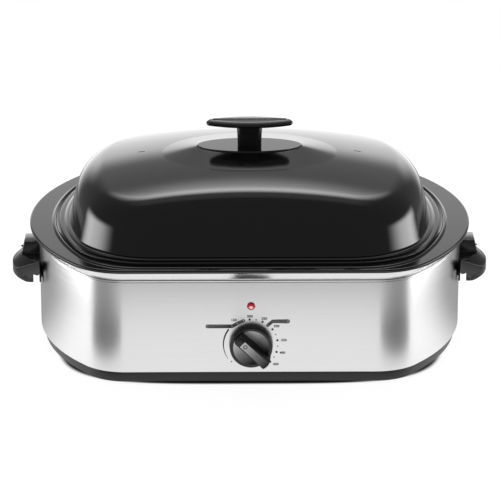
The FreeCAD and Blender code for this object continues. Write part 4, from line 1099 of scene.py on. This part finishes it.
@dataclass
class ControlKnob:
    """Turning knob: stepped skirt, dished face, tapered grip bar and grey inlay with a ring mark."""

    pointer: float = -44.0
    swell: float = 1.03
    depth: float = 0.011
    skirt_taper: float = 0.0008
    skirt_edge: float = 0.0014
    dish_radius: float = 0.0216
    dish_depth: float = 0.0019
    bar_base: float = 0.0080
    bar_front: float = 0.00575
    bar_back: float = 0.0215
    bar_edge: float = 0.0008
    inlay_half: float = 0.0043
    inlay_back: float = 0.0145
    inlay_margin: float = 0.0012
    inlay_bed: float = 0.0006
    inlay_height: float = 0.00055
    ring_outer: float = 0.0026
    ring_inner: float = 0.0015
    ring_place: float = -0.0098
    ring_sunk: float = 0.00004
    ring_ink: float = 0.00003
    # Painted shade: the face plate and the inlay take these colours, light grey to near black, as a gradient
    # across the knob.
    painted_shade_stops: tuple[tuple[float, tuple[float, float, float]], ...] = (
        (0.0, (0.46, 0.46, 0.465)), (0.5, (0.17, 0.17, 0.172)), (1.0, (0.02, 0.02, 0.021)))
    face_share: float = 0.99
    face_back: float = 0.0004
    face_lift: float = 0.00006

    def build(self) -> None:
        """Make the knob, its inlay and the ring mark."""
        low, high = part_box("control_knob")
        shaft_low, shaft_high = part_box("thermostat_shaft")
        centre = Vector((0.0, high.y, shaft_low.z * 0.5 + shaft_high.z * 0.5))
        radius = (high.x - low.x) / 2.0
        tip = radius * self.swell
        radius = radius * self.swell
        front = high.y - low.y
        bm = bmesh.new()
        ball = (self.dish_radius ** 2 + self.dish_depth ** 2) / (2.0 * self.dish_depth)
        dish = []
        for index in range(9):
            across = self.dish_radius * (1.0 - index / 8.0)
            sunk = math.sqrt(ball ** 2 - across ** 2) - (ball - self.dish_depth)
            dish.append((across, self.depth - sunk))
        edge = self.skirt_edge
        taper = self.skirt_taper
        skirt = [(0.0, 0.0), (radius, 0.0), (radius - taper * 0.8, self.depth - edge)]
        skirt += [(radius - taper - edge * (1.0 - math.cos(a)), self.depth - edge * (1.0 - math.sin(a)))
                  for a in (math.radians(deg) for deg in (25.0, 50.0, 72.0, 90.0))]
        lathe(bm, skirt + dish, centre, Vector((0, -1, 0)), 96)
        self.bar(bm, centre, tip, front)
        made = finish_mesh(bm, "turning_knob")
        dress(made, KNOB, "knob", ["control_knob"])
        plate = bmesh.new()
        back = self.depth - self.dish_depth - self.face_back
        cover = [(across * self.face_share, height + self.face_lift) for across, height in dish]
        lathe(plate, [(0.0, back), (cover[0][0], back)] + cover, centre, Vector((0, -1, 0)), 96)
        face = finish_mesh(plate, "knob_face_plate")
        dress(face, GRAPHITE, "knob")
        # Painted shade: the face plate is light grey at its upper left and darkens to near black at its lower
        # right.
        self.paint_shade(face.data.materials[0], centre, Vector((0.6, 0.0, -0.8)), (-0.018, 0.016))
        self.inlay(centre, tip, front)

    def tilt(self, centre: Vector) -> Matrix:
        """Place of a shape made with X along the pointer and Z across it."""
        return Matrix.Translation(centre) @ Matrix.Rotation(math.radians(-self.pointer), 4, "Y")

    def bar(self, bm: bmesh.types.BMesh, centre: Vector, tip: float, front: float) -> None:
        """Add the grip bar, narrower at its front, with a tip on the knob's own circle."""
        root = -(self.depth - self.dish_depth - 0.0005)
        steps = [self.bar_base * (1.0 - index / 6.0) for index in range(13)]
        ring = [Vector((math.sqrt(tip ** 2 - z ** 2), root, z)) for z in steps]
        ring += [Vector((-self.bar_back, root, way * self.bar_base)) for way in (-1.0, 1.0)]
        before = set(bm.verts)
        far = prism(bm, ring, Vector((0, -(front + root) + 0.0001, 0)))
        for vert in far:
            vert.co.z *= self.bar_front / self.bar_base
        bm.edges.index_update()
        rims = {edge for vert in far for edge in vert.link_edges if all(v in far for v in edge.verts)}
        back = {edge for vert in far for edge in vert.link_edges
                if vert.co.x < -self.bar_back + 0.0001 and not all(v in far for v in edge.verts)}
        bmesh.ops.bevel(bm, geom=list(rims | back), offset=self.bar_edge, segments=2, profile=0.5,
                        affect="EDGES", material=-1)
        fresh = [vert for vert in bm.verts if vert not in before]
        bmesh.ops.transform(bm, matrix=self.tilt(centre), verts=fresh)

    def paint_shade(self, material: bpy.types.Material, centre: Vector, direction: Vector,
              span: tuple[float, float]) -> None:
        """Paint shade into a metallic finish: its colour becomes a painted gradient from light grey to near
        black along a direction.

        Args:
            material: The finish.
            centre: The knob's centre.
            direction: Unit vector of the grading.
            span: Where it starts and ends, measured from the centre.
        """
        tree = material.node_tree
        shader = tree.nodes["Principled BSDF"]
        place = add_node(tree, "TexCoord")
        along = add_node(tree, "VectorMath", {0: place.outputs["Object"], 1: direction},
                         operation="DOT_PRODUCT")
        start = direction.dot(centre)
        share = add_node(tree, "MapRange", {"From Min": start + span[0], "From Max": start + span[1],
                                            "Value": along.outputs["Value"]})
        shade = colour_ramp(tree, share.outputs["Result"], self.painted_shade_stops)
        tree.links.new(shade, shader.inputs["Base Color"])

    def inlay(self, centre: Vector, tip: float, front: float) -> None:
        """Make the inlay and the ring mark near its end."""
        bm = bmesh.new()
        reach = tip - self.inlay_margin
        bed = -front + self.inlay_bed
        steps = [self.inlay_half * (1.0 - index / 4.0) for index in range(9)]
        ring = [Vector((math.sqrt(reach ** 2 - z ** 2), bed, z)) for z in steps]
        ring += [Vector((-self.inlay_back, bed, way * self.inlay_half)) for way in (-1.0, 1.0)]
        prism(bm, ring, Vector((0, -self.inlay_height, 0)))
        bmesh.ops.transform(bm, matrix=self.tilt(centre), verts=bm.verts)
        made = finish_mesh(bm, "pointer_inlay")
        dress(made, INLAY, "knob", ["knob_inlay"])
        pointing = self.tilt(Vector((0, 0, 0))) @ Vector((1, 0, 0))
        # Painted shade: the inlay is light grey at its back end and darkens to near black at its tip.
        self.paint_shade(made.data.materials[0], centre, pointing, (-self.inlay_back, reach))
        ring_bm = bmesh.new()
        spot = self.tilt(centre) @ Vector((self.ring_place, -front + self.ring_sunk, 0.0))
        lathe(ring_bm, [(self.ring_inner, 0.0), (self.ring_outer, 0.0), (self.ring_outer, self.ring_ink),
                        (self.ring_inner, self.ring_ink)], spot, Vector((0, -1, 0)), 40, True)
        mark = finish_mesh(ring_bm, "pointer_ring_mark")
        dress(mark, INK, "knob")


class Ink(Enum):
    """The inks of the dial print."""

    DARK = "dark"
    TAG = "tag"
    PALE = "pale"


@dataclass
class DialPrint:
    """Print round the knob: numbers, dots, the tapered low-heat arc and two bare tags."""

    height: float = 0.052
    dot_circle: float = 0.0318
    ink: float = 0.00004
    number_size: float = 0.0041
    bold: float = 0.00016
    meshes: dict[Ink, bmesh.types.BMesh] = field(default_factory=lambda: {ink: bmesh.new() for ink in Ink})

    def dot(self, ink: Ink, x: float, z: float, radius: float) -> None:
        """Add a round dot at a place relative to the knob's axis."""
        place = Matrix.Translation(Vector((x, 0, z))) @ Matrix.Rotation(math.pi / 2.0, 4, "X")
        bmesh.ops.create_circle(self.meshes[ink], cap_ends=True, segments=28, radius=radius, matrix=place)

    def dot_at(self, ink: Ink, degrees: float, radius: float) -> None:
        """Add a dot on the dot circle."""
        angle = math.radians(degrees)
        self.dot(ink, self.dot_circle * math.cos(angle), self.dot_circle * math.sin(angle), radius)

    def ribbon(self, ink: Ink, path: Sequence[tuple[float, float]], widths: Sequence[float]) -> None:
        """Add a band of ink with round ends along a path.

        Args:
            ink: Which ink.
            path: X and Z of each point, relative to the knob's axis.
            widths: Half width of the band at each point.
        """
        points = [Vector((x, 0.0, z)) for x, z in path]
        last = len(points) - 1
        left, right = [], []
        for index, point in enumerate(points):
            ahead = (points[min(index + 1, last)] - points[max(index - 1, 0)]).normalized()
            across = Vector((-ahead.z, 0.0, ahead.x)) * widths[index]
            left.append(point + across)
            right.append(point - across)
        ring = list(left)
        for point, side, heading, width in ((points[-1], left[-1], points[-1] - points[-2], widths[-1]),
                                            (points[0], right[0], points[0] - points[1], widths[0])):
            start = (side - point).normalized()
            forward = heading.normalized()
            for step in range(1, 8):
                angle = math.pi * step / 8.0
                ring.append(point + (start * math.cos(angle) + forward * math.sin(angle)) * width)
            if point is points[-1]:
                ring += list(reversed(right))
        bm = self.meshes[ink]
        bmesh.ops.contextual_create(bm, geom=chain(bm, ring, True))

    def number(self, words: str, x: float, z: float) -> None:
        """Add a number, centred at a place relative to the knob's axis."""
        curve = bpy.data.curves.new("number", "FONT")
        curve.body = words
        curve.size = self.number_size
        curve.offset = self.bold
        curve.align_x = "CENTER"
        curve.align_y = "CENTER"
        curve.resolution_u = 3
        holder = bpy.data.objects.new("number", curve)
        bpy.context.scene.collection.objects.link(holder)
        bpy.context.view_layer.update()
        mesh = bpy.data.meshes.new_from_object(holder.evaluated_get(bpy.context.evaluated_depsgraph_get()))
        bm = self.meshes[Ink.DARK]
        before = set(bm.verts)
        bm.from_mesh(mesh)
        fresh = [vert for vert in bm.verts if vert not in before]
        place = (Matrix.Translation(Vector((x, 0, z))) @ Matrix.Rotation(math.pi / 2.0, 4, "X")
                 @ Matrix.Diagonal((1.12, 1.0, 1.0, 1.0)))
        bmesh.ops.transform(bm, matrix=place, verts=fresh)
        bpy.data.objects.remove(holder)
        bpy.data.curves.remove(curve)
        bpy.data.meshes.remove(mesh)

    def build(self) -> None:
        """Print the dial on the flat front of the wrap."""
        for degrees in (-44.0, -17.8, 9.4, 36.9, 64.7, 93.0):
            self.dot_at(Ink.DARK, degrees, 0.0014)
        for degrees in (-31.0, -4.2, 23.1, 78.9):
            self.dot_at(Ink.DARK, degrees, 0.0008)
        self.dot_at(Ink.DARK, 223.0, 0.0009)
        for words, x, z in (("200", -1.4, 35.6), ("250", 15.6, 32.6), ("150", -20.5, 31.0),
                            ("300", 30.2, 23.0), ("350", 38.9, 5.2), ("400", 37.4, -10.8),
                            ("450", 29.4, -25.4)):
            self.number(words, x * MM, z * MM)
        sweep = [math.radians(145.0 + 69.0 * index / 24.0) for index in range(25)]
        self.ribbon(Ink.DARK, [(0.0329 * math.cos(a), 0.0329 * math.sin(a)) for a in sweep],
                    [0.0010 - 0.0008 * (index / 24.0) ** 1.3 for index in range(25)])
        warm = [(-51.7, 23.1), (-22.4, 23.1), (-16.4, 26.8), (-8.8, 30.2)]
        self.ribbon(Ink.TAG, [(x * MM, z * MM) for x, z in warm], [0.0024, 0.0024, 0.0021, 0.0020])
        thaw = [(19.8, 24.2), (25.4, 29.2), (43.7, 29.2)]
        self.ribbon(Ink.TAG, [(x * MM, z * MM) for x, z in thaw], [0.0021, 0.0023, 0.0026])
        for x, z, radius in ((-51.7, 23.1, 1.3), (-22.6, 23.0, 1.2), (-16.4, 26.8, 1.2), (-8.8, 30.2, 1.2),
                             (19.8, 24.2, 1.2), (43.7, 29.2, 1.6)):
            self.dot(Ink.PALE, x * MM, z * MM, radius * MM)
        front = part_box("outer_wrap")[0].y
        for ink, finish, lift in ((Ink.DARK, INK, self.ink), (Ink.TAG, TAG_INK, self.ink),
                                  (Ink.PALE, PALE_INK, self.ink * 2.0)):
            bm = self.meshes[ink]
            bmesh.ops.translate(bm, verts=bm.verts, vec=Vector((0, front - lift, self.height)))
            made = finish_mesh(bm, "dial_print_" + ink.value)
            thicken(made, self.ink, 0.0)
            dress(made, finish, "base_unit")


@dataclass
class Lamp:
    """Red pilot lamp: a domed lens, lit from inside."""

    flange: float = 0.0004
    spot_drop: float = 0.0012
    spot_reach: float = 0.0058
    glow_stops: tuple[tuple[float, tuple[float, float, float]], ...] = (
        (0.0, (0.95, 0.62, 0.58)), (0.22, (0.9, 0.45, 0.42)), (0.5, (0.42, 0.004, 0.03)),
        (1.0, (0.06, 0.0, 0.004)))

    def build(self) -> None:
        """Make the lens and its glow."""
        low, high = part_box("lamp_lens")
        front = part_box("outer_wrap")[0].y
        centre = Vector(((low.x + high.x) / 2.0, front, (low.z + high.z) / 2.0))
        radius = (high.x - low.x) / 2.0
        dome = front - low.y - self.flange
        ball = (radius ** 2 + dome ** 2) / (2.0 * dome)
        turn = math.asin(min(1.0, radius / ball))
        curve = [(ball * math.sin(turn * (1.0 - i / 10.0)),
                  self.flange + dome - ball + ball * math.cos(turn * (1.0 - i / 10.0))) for i in range(11)]
        bm = bmesh.new()
        lathe(bm, [(0.0, -0.001), (radius * 0.8, -0.001), (radius * 0.8, 0.0), (radius, 0.0)] + curve, centre,
              Vector((0, -1, 0)), 56)
        made = finish_mesh(bm, "pilot_lens")
        dress(made, LENS, "base_unit", ["lamp_lens"])
        self.light_up(made.data.materials[0], centre + Vector((0.0, -dome, -self.spot_drop)))

    def light_up(self, material: bpy.types.Material, spot: Vector) -> None:
        """Let the lens glow round the lit filament: pink-white in the middle, deep red at the rim.

        Args:
            material: The lens finish.
            spot: Middle of the glow.
        """
        tree = material.node_tree
        shader = tree.nodes["Principled BSDF"]
        place = add_node(tree, "TexCoord")
        away = add_node(tree, "VectorMath", {0: place.outputs["Object"], 1: spot}, operation="DISTANCE")
        share = add_node(tree, "MapRange", {"From Max": self.spot_reach, "Value": away.outputs["Value"]})
        glow = colour_ramp(tree, share.outputs["Result"], self.glow_stops)
        tree.links.new(glow, shader.inputs["Emission Color"])


@dataclass
class Grommet:
    """Rubber grommet in the rear of the wrap, for the cord."""

    rim: float = 0.0022
    neck: float = 0.0065
    bore: float = 0.0036
    edge: float = 0.0007

    def build(self) -> None:
        """Make the grommet with rounded rims."""
        low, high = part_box("cord_grommet")
        centre = Vector(((low.x + high.x) / 2.0, low.y, (low.z + high.z) / 2.0))
        outer = (high.x - low.x) / 2.0
        length = high.y - low.y
        e = self.edge
        line = [(self.bore, 0.0), (outer - e, 0.0), (outer, e), (outer, self.rim), (self.neck, self.rim),
                (self.neck, length - self.rim), (outer, length - self.rim), (outer, length - 2.0 * e)]
        line += arc((outer - 2.0 * e, length - 2.0 * e), 2.0 * e, 22.0, 90.0, 3)
        line += [(self.bore + e, length), (self.bore, length - e)]
        bm = bmesh.new()
        lathe(bm, line, centre, Vector((0, 1, 0)), 48, True)
        made = finish_mesh(bm, "cord_grommet_ring")
        dress(made, RUBBER, "base_unit", ["cord_grommet"])


@dataclass
class Grip:
    """Lid grip: oval plate with rounded edges on a waisted stem."""

    plate: Oval = Oval(0.0535, 0.0180, 0.0078)
    stem: Oval = Oval(0.016, 0.0105, 0.0085)
    thickness: float = 0.0078
    waist: float = 0.0013

    def build(self) -> None:
        """Make the plate and the stem as one moulding."""
        low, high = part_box("lid_knob")
        foot = low.z
        under = high.z - self.thickness
        shell = RingShell(96)
        height = under + 0.001 - foot
        shell.profile(self.stem, [(-self.waist * math.sin(math.pi * (0.5 + i / 12.0 * 0.5)),
                                   foot + height * i / 12.0) for i in range(13)])
        bm = shell.bm
        plate = RingShell(128)
        plate.profile(self.plate, [(-0.009, under + 0.0002), (-0.0052, under)])
        plate.profile(self.plate, arc((-0.0030, under + 0.0027), 0.0027, -80.0, 0.0, 6))
        plate.profile(self.plate, [(-0.0002, under + 0.0034)])
        plate.profile(self.plate, arc((-0.0020, under + 0.0036), 0.0016, 10.0, 68.0, 4))
        plate.profile(self.plate, [(-0.004, high.z - 0.0009), (-0.007, high.z - 0.0003), (-0.010, high.z)])
        plate.cap()
        mesh = bpy.data.meshes.new("plate")
        plate.bm.to_mesh(mesh)
        bm.from_mesh(mesh)
        bpy.data.meshes.remove(mesh)
        made = finish_mesh(bm, "lid_grip", Vector((0, middle_y(), 0)))
        dress(made, MOULDING, "lid", ["lid_knob"])


@dataclass
class Rack:
    """Lifting rack of chromed wire: rim, cross bars, four feet and two end loops."""

    wire: float = 0.0026
    bar: float = 0.0017
    gap: float = 0.026
    pitch: float = 0.027
    foot_share: float = 0.72
    loop_wire: float = 0.0022
    loop_half_span: float = 0.058
    loop_bend: float = 0.014

    def build(self, line: Outline) -> None:
        """Make the grid and its two loops inside the pan's own line."""
        low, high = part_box("rack_grid")
        z = high.z - self.wire
        y = (low.y + high.y) / 2.0
        rim = replace(line.inset(self.gap), half_width=(high.x - low.x) / 2.0 - self.wire,
                      half_depth=(high.y - low.y) / 2.0 - self.wire)
        bm = bmesh.new()
        path = [rim.spot(index / 128.0)[0] + Vector((0, y, z)) for index in range(128)]
        tube(bm, path, self.wire, 12, True)
        count = int(rim.half_width / self.pitch)
        for index in range(-count, count + 1):
            x = index * self.pitch
            reach = self.reach_at(rim, x)
            tube(bm, [Vector((x, y - reach, z)), Vector((x, y + reach, z))], self.bar, 10)
        for way in (-1.0, 1.0):
            x = way * self.pitch * (count - 1)
            reach = self.reach_at(rim, x) * self.foot_share
            for side in (-1.0, 1.0):
                foot_y = y + side * reach
                tube(bm, [Vector((x, foot_y, low.z)), Vector((x, foot_y, z))], self.wire, 12)
        made = finish_mesh(bm, "wire_rack")
        dress(made, CHROME, "rack", ["rack_grid"])
        for node in ("rack_handle_left", "rack_handle_right"):
            self.loop(node, y, z)

    def reach_at(self, rim: Outline, x: float) -> float:
        """Half length of the rim's chord at an X."""
        points = [rim.spot(0.25 * index / 200.0)[0] for index in range(201)]
        return -min(points, key=lambda point: abs(point.x - abs(x))).y

    def loop(self, node: str, y: float, foot: float) -> None:
        """Make one end loop."""
        low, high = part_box(node)
        x = (low.x + high.x) / 2.0
        half, bend = self.loop_half_span, self.loop_bend
        top = high.z - self.loop_wire
        path = [Vector((x, y - half, foot))]
        for corner, start in ((y - half + bend, 180.0), (y + half - bend, 90.0)):
            path += [Vector((x, corner + a, top - bend + b))
                     for a, b in arc((0, 0), bend, start, start - 90.0, 8)]
        path.append(Vector((x, y + half, foot)))
        bm = bmesh.new()
        tube(bm, path, self.loop_wire, 12)
        made = finish_mesh(bm, "wire_loop_" + node.rsplit("_", 1)[1])
        dress(made, CHROME, "rack", [node])


def dress_cad_nodes() -> None:
    """Give every CAD node that still shows the finish of its slot."""
    slots = {part["node"]: part["material_slot"] for part in frame["record"]["subparts"]}
    for node, made in frame["nodes"].items():
        if made.hide_render:
            continue
        made.data.materials.clear()
        made.data.materials.append(CAD_FINISHES[slots[node]].build())


@dataclass
class Studio:
    """Pale floor, soft lights and the camera at the photograph's angle."""

    distance: float = 3.5
    elevation: float = 19.3
    azimuth: float = -0.55
    target_x: float = 0.0006
    target_height: float = 0.102
    focal_pixels: float = 2800.0
    frame_pixels: float = 500.0
    sensor: float = 36.0
    floor_size: float = 1.15
    floor_colour: float = 0.25
    floor_front_glow: float = 1.0
    floor_rear_glow: float = 0.25
    floor_side_share: float = 0.5
    floor_white: float = 0.93
    floor_turn: tuple[float, float] = (-0.12, 0.08)
    floor_sides: tuple[float, float] = (0.33, 0.55)
    # Fade and half width and depth of the painted shadow round the oven's footprint.
    shade_edge: tuple[float, float] = (0.92, 1.04)
    shade_half_width: float = 0.238
    shade_half_depth: float = 0.1945
    backdrop_light: float = 1.6
    backdrop_top: float = 0.18
    backdrop_sides: tuple[float, float] = (0.2, 0.5)
    backdrop_front: tuple[float, float] = (0.0, 0.2)
    backdrop_rise: tuple[float, float] = (0.21, 0.385)
    room_light: float = 0.2
    edge_fade: float = 0.42
    flag_x: float = 0.316
    flag_y: float = -0.33
    flag_lift: float = 0.0006
    flag_size: tuple[float, float] = (0.14, 0.14)

    def camera(self) -> None:
        """Place the camera, aimed at the body's middle."""
        data = bpy.data.cameras.new("camera")
        data.sensor_width = self.sensor
        data.lens = self.sensor * self.focal_pixels / self.frame_pixels
        data.clip_end = 50.0
        made = bpy.data.objects.new("camera", data)
        a, e = math.radians(self.azimuth), math.radians(self.elevation)
        back = Vector((math.sin(a) * math.cos(e), -math.cos(a) * math.cos(e), math.sin(e)))
        made.location = Vector((self.target_x, middle_y(), self.target_height)) + back * self.distance
        made.rotation_mode = "QUATERNION"
        made.rotation_quaternion = (-back).to_track_quat("-Z", "Y")
        bpy.context.scene.collection.objects.link(made)
        bpy.context.scene.camera = made

    def floor(self) -> None:
        """Pale floor: white to the camera, bright in reflections in front, and a painted shadow under the
        oven, where its glow is cut away.
        """
        bm = bmesh.new()
        bmesh.ops.create_circle(bm, cap_ends=True, segments=96, radius=self.floor_size)
        made = finish_mesh(bm, "floor")
        material = bpy.data.materials.new("floor")
        material.use_nodes = True
        tree = material.node_tree
        shader = tree.nodes["Principled BSDF"]
        shader.inputs["Base Color"].default_value = (*[self.floor_colour] * 3, 1.0)
        shader.inputs["Roughness"].default_value = 0.9
        shader.inputs["Specular IOR Level"].default_value = 0.0
        shader.inputs["Emission Color"].default_value = (1.0, 1.0, 1.0, 1.0)
        path = add_node(tree, "LightPath")
        camera = self.math_node(tree, "MULTIPLY", path.outputs["Is Camera Ray"], self.floor_white)
        place = add_node(tree, "TexCoord")
        parts = add_node(tree, "SeparateXYZ", {"Vector": place.outputs["Object"]})
        glow = self.fade(tree, parts.outputs["Y"], self.floor_turn,
                         (self.floor_front_glow, self.floor_rear_glow))
        aside = self.math_node(tree, "ABSOLUTE", parts.outputs["X"], 0.0)
        sides = self.fade(tree, aside, self.floor_sides, (1.0, self.floor_side_share))
        glow = self.math_node(tree, "MULTIPLY", glow, sides)
        glossy = self.math_node(tree, "MULTIPLY", path.outputs["Is Glossy Ray"], glow)
        both = self.math_node(tree, "ADD", camera, glossy)
        # Painted shadow: the floor's glow is cut away inside the oven's footprint, so there the floor shows
        # only its dim lamp-lit colour with its real cast shadow.
        across = self.math_node(tree, "DIVIDE", parts.outputs["X"], self.shade_half_width)
        along = self.math_node(tree, "SUBTRACT", parts.outputs["Y"], middle_y())
        along = self.math_node(tree, "DIVIDE", along, self.shade_half_depth)
        reach = self.math_node(tree, "ADD", self.math_node(tree, "POWER", across, 4.0),
                               self.math_node(tree, "POWER", along, 4.0))
        open_floor = self.fade(tree, reach, self.shade_edge, (0.0, 1.0))
        tree.links.new(self.math_node(tree, "MULTIPLY", both, open_floor), shader.inputs["Emission Strength"])
        made.data.materials.append(material)

    def lamp(self, name: str, place: Vector, aim: Vector, size: tuple[float, float], power: float) -> None:
        """Add one rectangular softbox.

        Args:
            name: Its name.
            place: Where it stands.
            aim: The point it faces.
            size: Its width and height.
            power: Its strength in watts.
        """
        data = bpy.data.lights.new(name, "AREA")
        data.shape = "RECTANGLE"
        data.size, data.size_y = size
        data.energy = power
        made = bpy.data.objects.new(name, data)
        made.location = place
        made.rotation_mode = "QUATERNION"
        made.rotation_quaternion = (aim - place).to_track_quat("-Z", "Y")
        made.visible_camera = False
        self.soft_edges(data)
        bpy.context.scene.collection.objects.link(made)

    def soft_edges(self, data: bpy.types.AreaLight) -> None:
        """Fade a softbox's face towards its edges, as its cloth does."""
        data.use_nodes = True
        tree = data.node_tree
        place = add_node(tree, "NewGeometry")
        parts = add_node(tree, "SeparateXYZ", {"Vector": place.outputs["Parametric"]})
        shares = []
        for axis in ("X", "Y"):
            near = self.fade(tree, parts.outputs[axis], (0.0, self.edge_fade), (0.0, 1.0))
            far = self.fade(tree, parts.outputs[axis], (1.0 - self.edge_fade, 1.0), (1.0, 0.0))
            shares.append(self.math_node(tree, "MULTIPLY", near, far))
        both = self.math_node(tree, "MULTIPLY", shares[0], shares[1])
        tree.links.new(both, tree.nodes["Emission"].inputs["Strength"])

    def math_node(self, tree: bpy.types.NodeTree, operation: str, first: object,
                  second: object) -> bpy.types.NodeSocket:
        """Join two sockets or numbers with a maths node and return its output."""
        return add_node(tree, "Math", {0: first, 1: second}, operation=operation).outputs["Value"]

    def fade(self, tree: bpy.types.NodeTree, value: bpy.types.NodeSocket, span: tuple[float, float],
             ends: tuple[float, float]) -> bpy.types.NodeSocket:
        """Map a value smoothly from a span to two end values."""
        sockets = {"Value": value, "From Min": span[0], "From Max": span[1], "To Min": ends[0],
                   "To Max": ends[1]}
        return add_node(tree, "MapRange", sockets, interpolation_type="SMOOTHSTEP").outputs["Result"]

    def world(self) -> None:
        """White to the camera; for the rest a dim room with a bright, low backdrop straight behind."""
        world = bpy.data.worlds.new("studio")
        world.use_nodes = True
        tree = world.node_tree
        backdrop = tree.nodes["Background"]
        place = add_node(tree, "TexCoord")
        parts = add_node(tree, "SeparateXYZ", {"Vector": place.outputs["Generated"]})
        aside = self.math_node(tree, "ABSOLUTE", parts.outputs["X"], 0.0)
        width = self.fade(tree, aside, self.backdrop_sides, (self.backdrop_light, 0.0))
        rear = self.fade(tree, parts.outputs["Y"], self.backdrop_front, (0.0, 1.0))
        behind = self.math_node(tree, "MULTIPLY", width, rear)
        low = self.fade(tree, parts.outputs["Z"], self.backdrop_rise, (1.0, self.backdrop_top))
        glow = self.math_node(tree, "MULTIPLY", behind, low)
        light = self.math_node(tree, "ADD", glow, self.room_light)
        path = add_node(tree, "LightPath")
        mix = add_node(tree, "Mix", {"A": light, "B": 1.0, "Factor": path.outputs["Is Camera Ray"]},
                       data_type="FLOAT")
        tree.links.new(mix.outputs["Result"], backdrop.inputs["Strength"])
        backdrop.inputs["Color"].default_value = (1.0, 1.0, 1.0, 1.0)
        bpy.context.scene.world = world

    def flag(self, name: str, x: float) -> None:
        """Lay a dark card on the floor where only reflections see it, as a photographer shades metal."""
        bm = bmesh.new()
        bmesh.ops.create_circle(bm, cap_ends=True, segments=40, radius=1.0)
        bmesh.ops.scale(bm, vec=Vector((self.flag_size[0], self.flag_size[1], 1.0)), verts=bm.verts)
        made = finish_mesh(bm, name, Vector((x, self.flag_y, self.flag_lift)), recalc=False)
        made.data.materials.append(Finish("flag", (0.22, 0.22, 0.22), 0.9).build())
        made.visible_camera = False
        made.visible_diffuse = False
        made.visible_shadow = False
        made.visible_transmission = False

    def build(self) -> None:
        """Set up camera, floor, world and softboxes."""
        self.camera()
        self.floor()
        self.world()
        aim = Vector((0.0, middle_y(), 0.12))
        for box in SOFTBOXES:
            power = box.light * math.pi * box.size[0] * box.size[1]
            self.lamp(box.name, Vector(box.place), aim, box.size, power)
        self.flag("flag_left", -self.flag_x)
        self.flag("flag_right", self.flag_x)
        scene = bpy.context.scene
        scene.view_settings.view_transform = "Standard"


@dataclass(frozen=True)
class Softbox:
    """A soft light: where it stands, its width and height, and how bright its face is."""

    name: str
    place: tuple[float, float, float]
    size: tuple[float, float]
    light: float


SOFTBOXES = (
    Softbox("top_softbox", (0.0, 0.92, 1.42), (1.9, 1.0), 4.0),
    Softbox("left_softbox", (-1.58, 0.15, 0.16), (2.2, 0.8), 5.4),
    Softbox("right_softbox", (1.58, 0.15, 0.16), (2.2, 0.8), 5.4),
)


def main() -> None:
    """Build the dressed oven and the studio."""
    logging.basicConfig(level=logging.INFO, format="%(message)s")
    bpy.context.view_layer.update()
    Studio().build()
    wrap = Wrap()
    wrap.build()
    Collar().build(wrap.line())
    Tray().build(wrap.line())
    Well().build()
    pan = Pan()
    pan.build()
    Rack().build(Outline(pan.tub_half_width, pan.tub_half_depth, pan.tub_flat, pan.tub_end_radius))
    Lid().build()
    Grip().build()
    SideHandle(-1.0, "side_handle_left").build(wrap.line())
    SideHandle(1.0, "side_handle_right").build(wrap.line())
    ControlKnob().build()
    DialPrint().build()
    Lamp().build()
    Grommet().build()
    dress_cad_nodes()


if __name__ == "__main__":
    main()
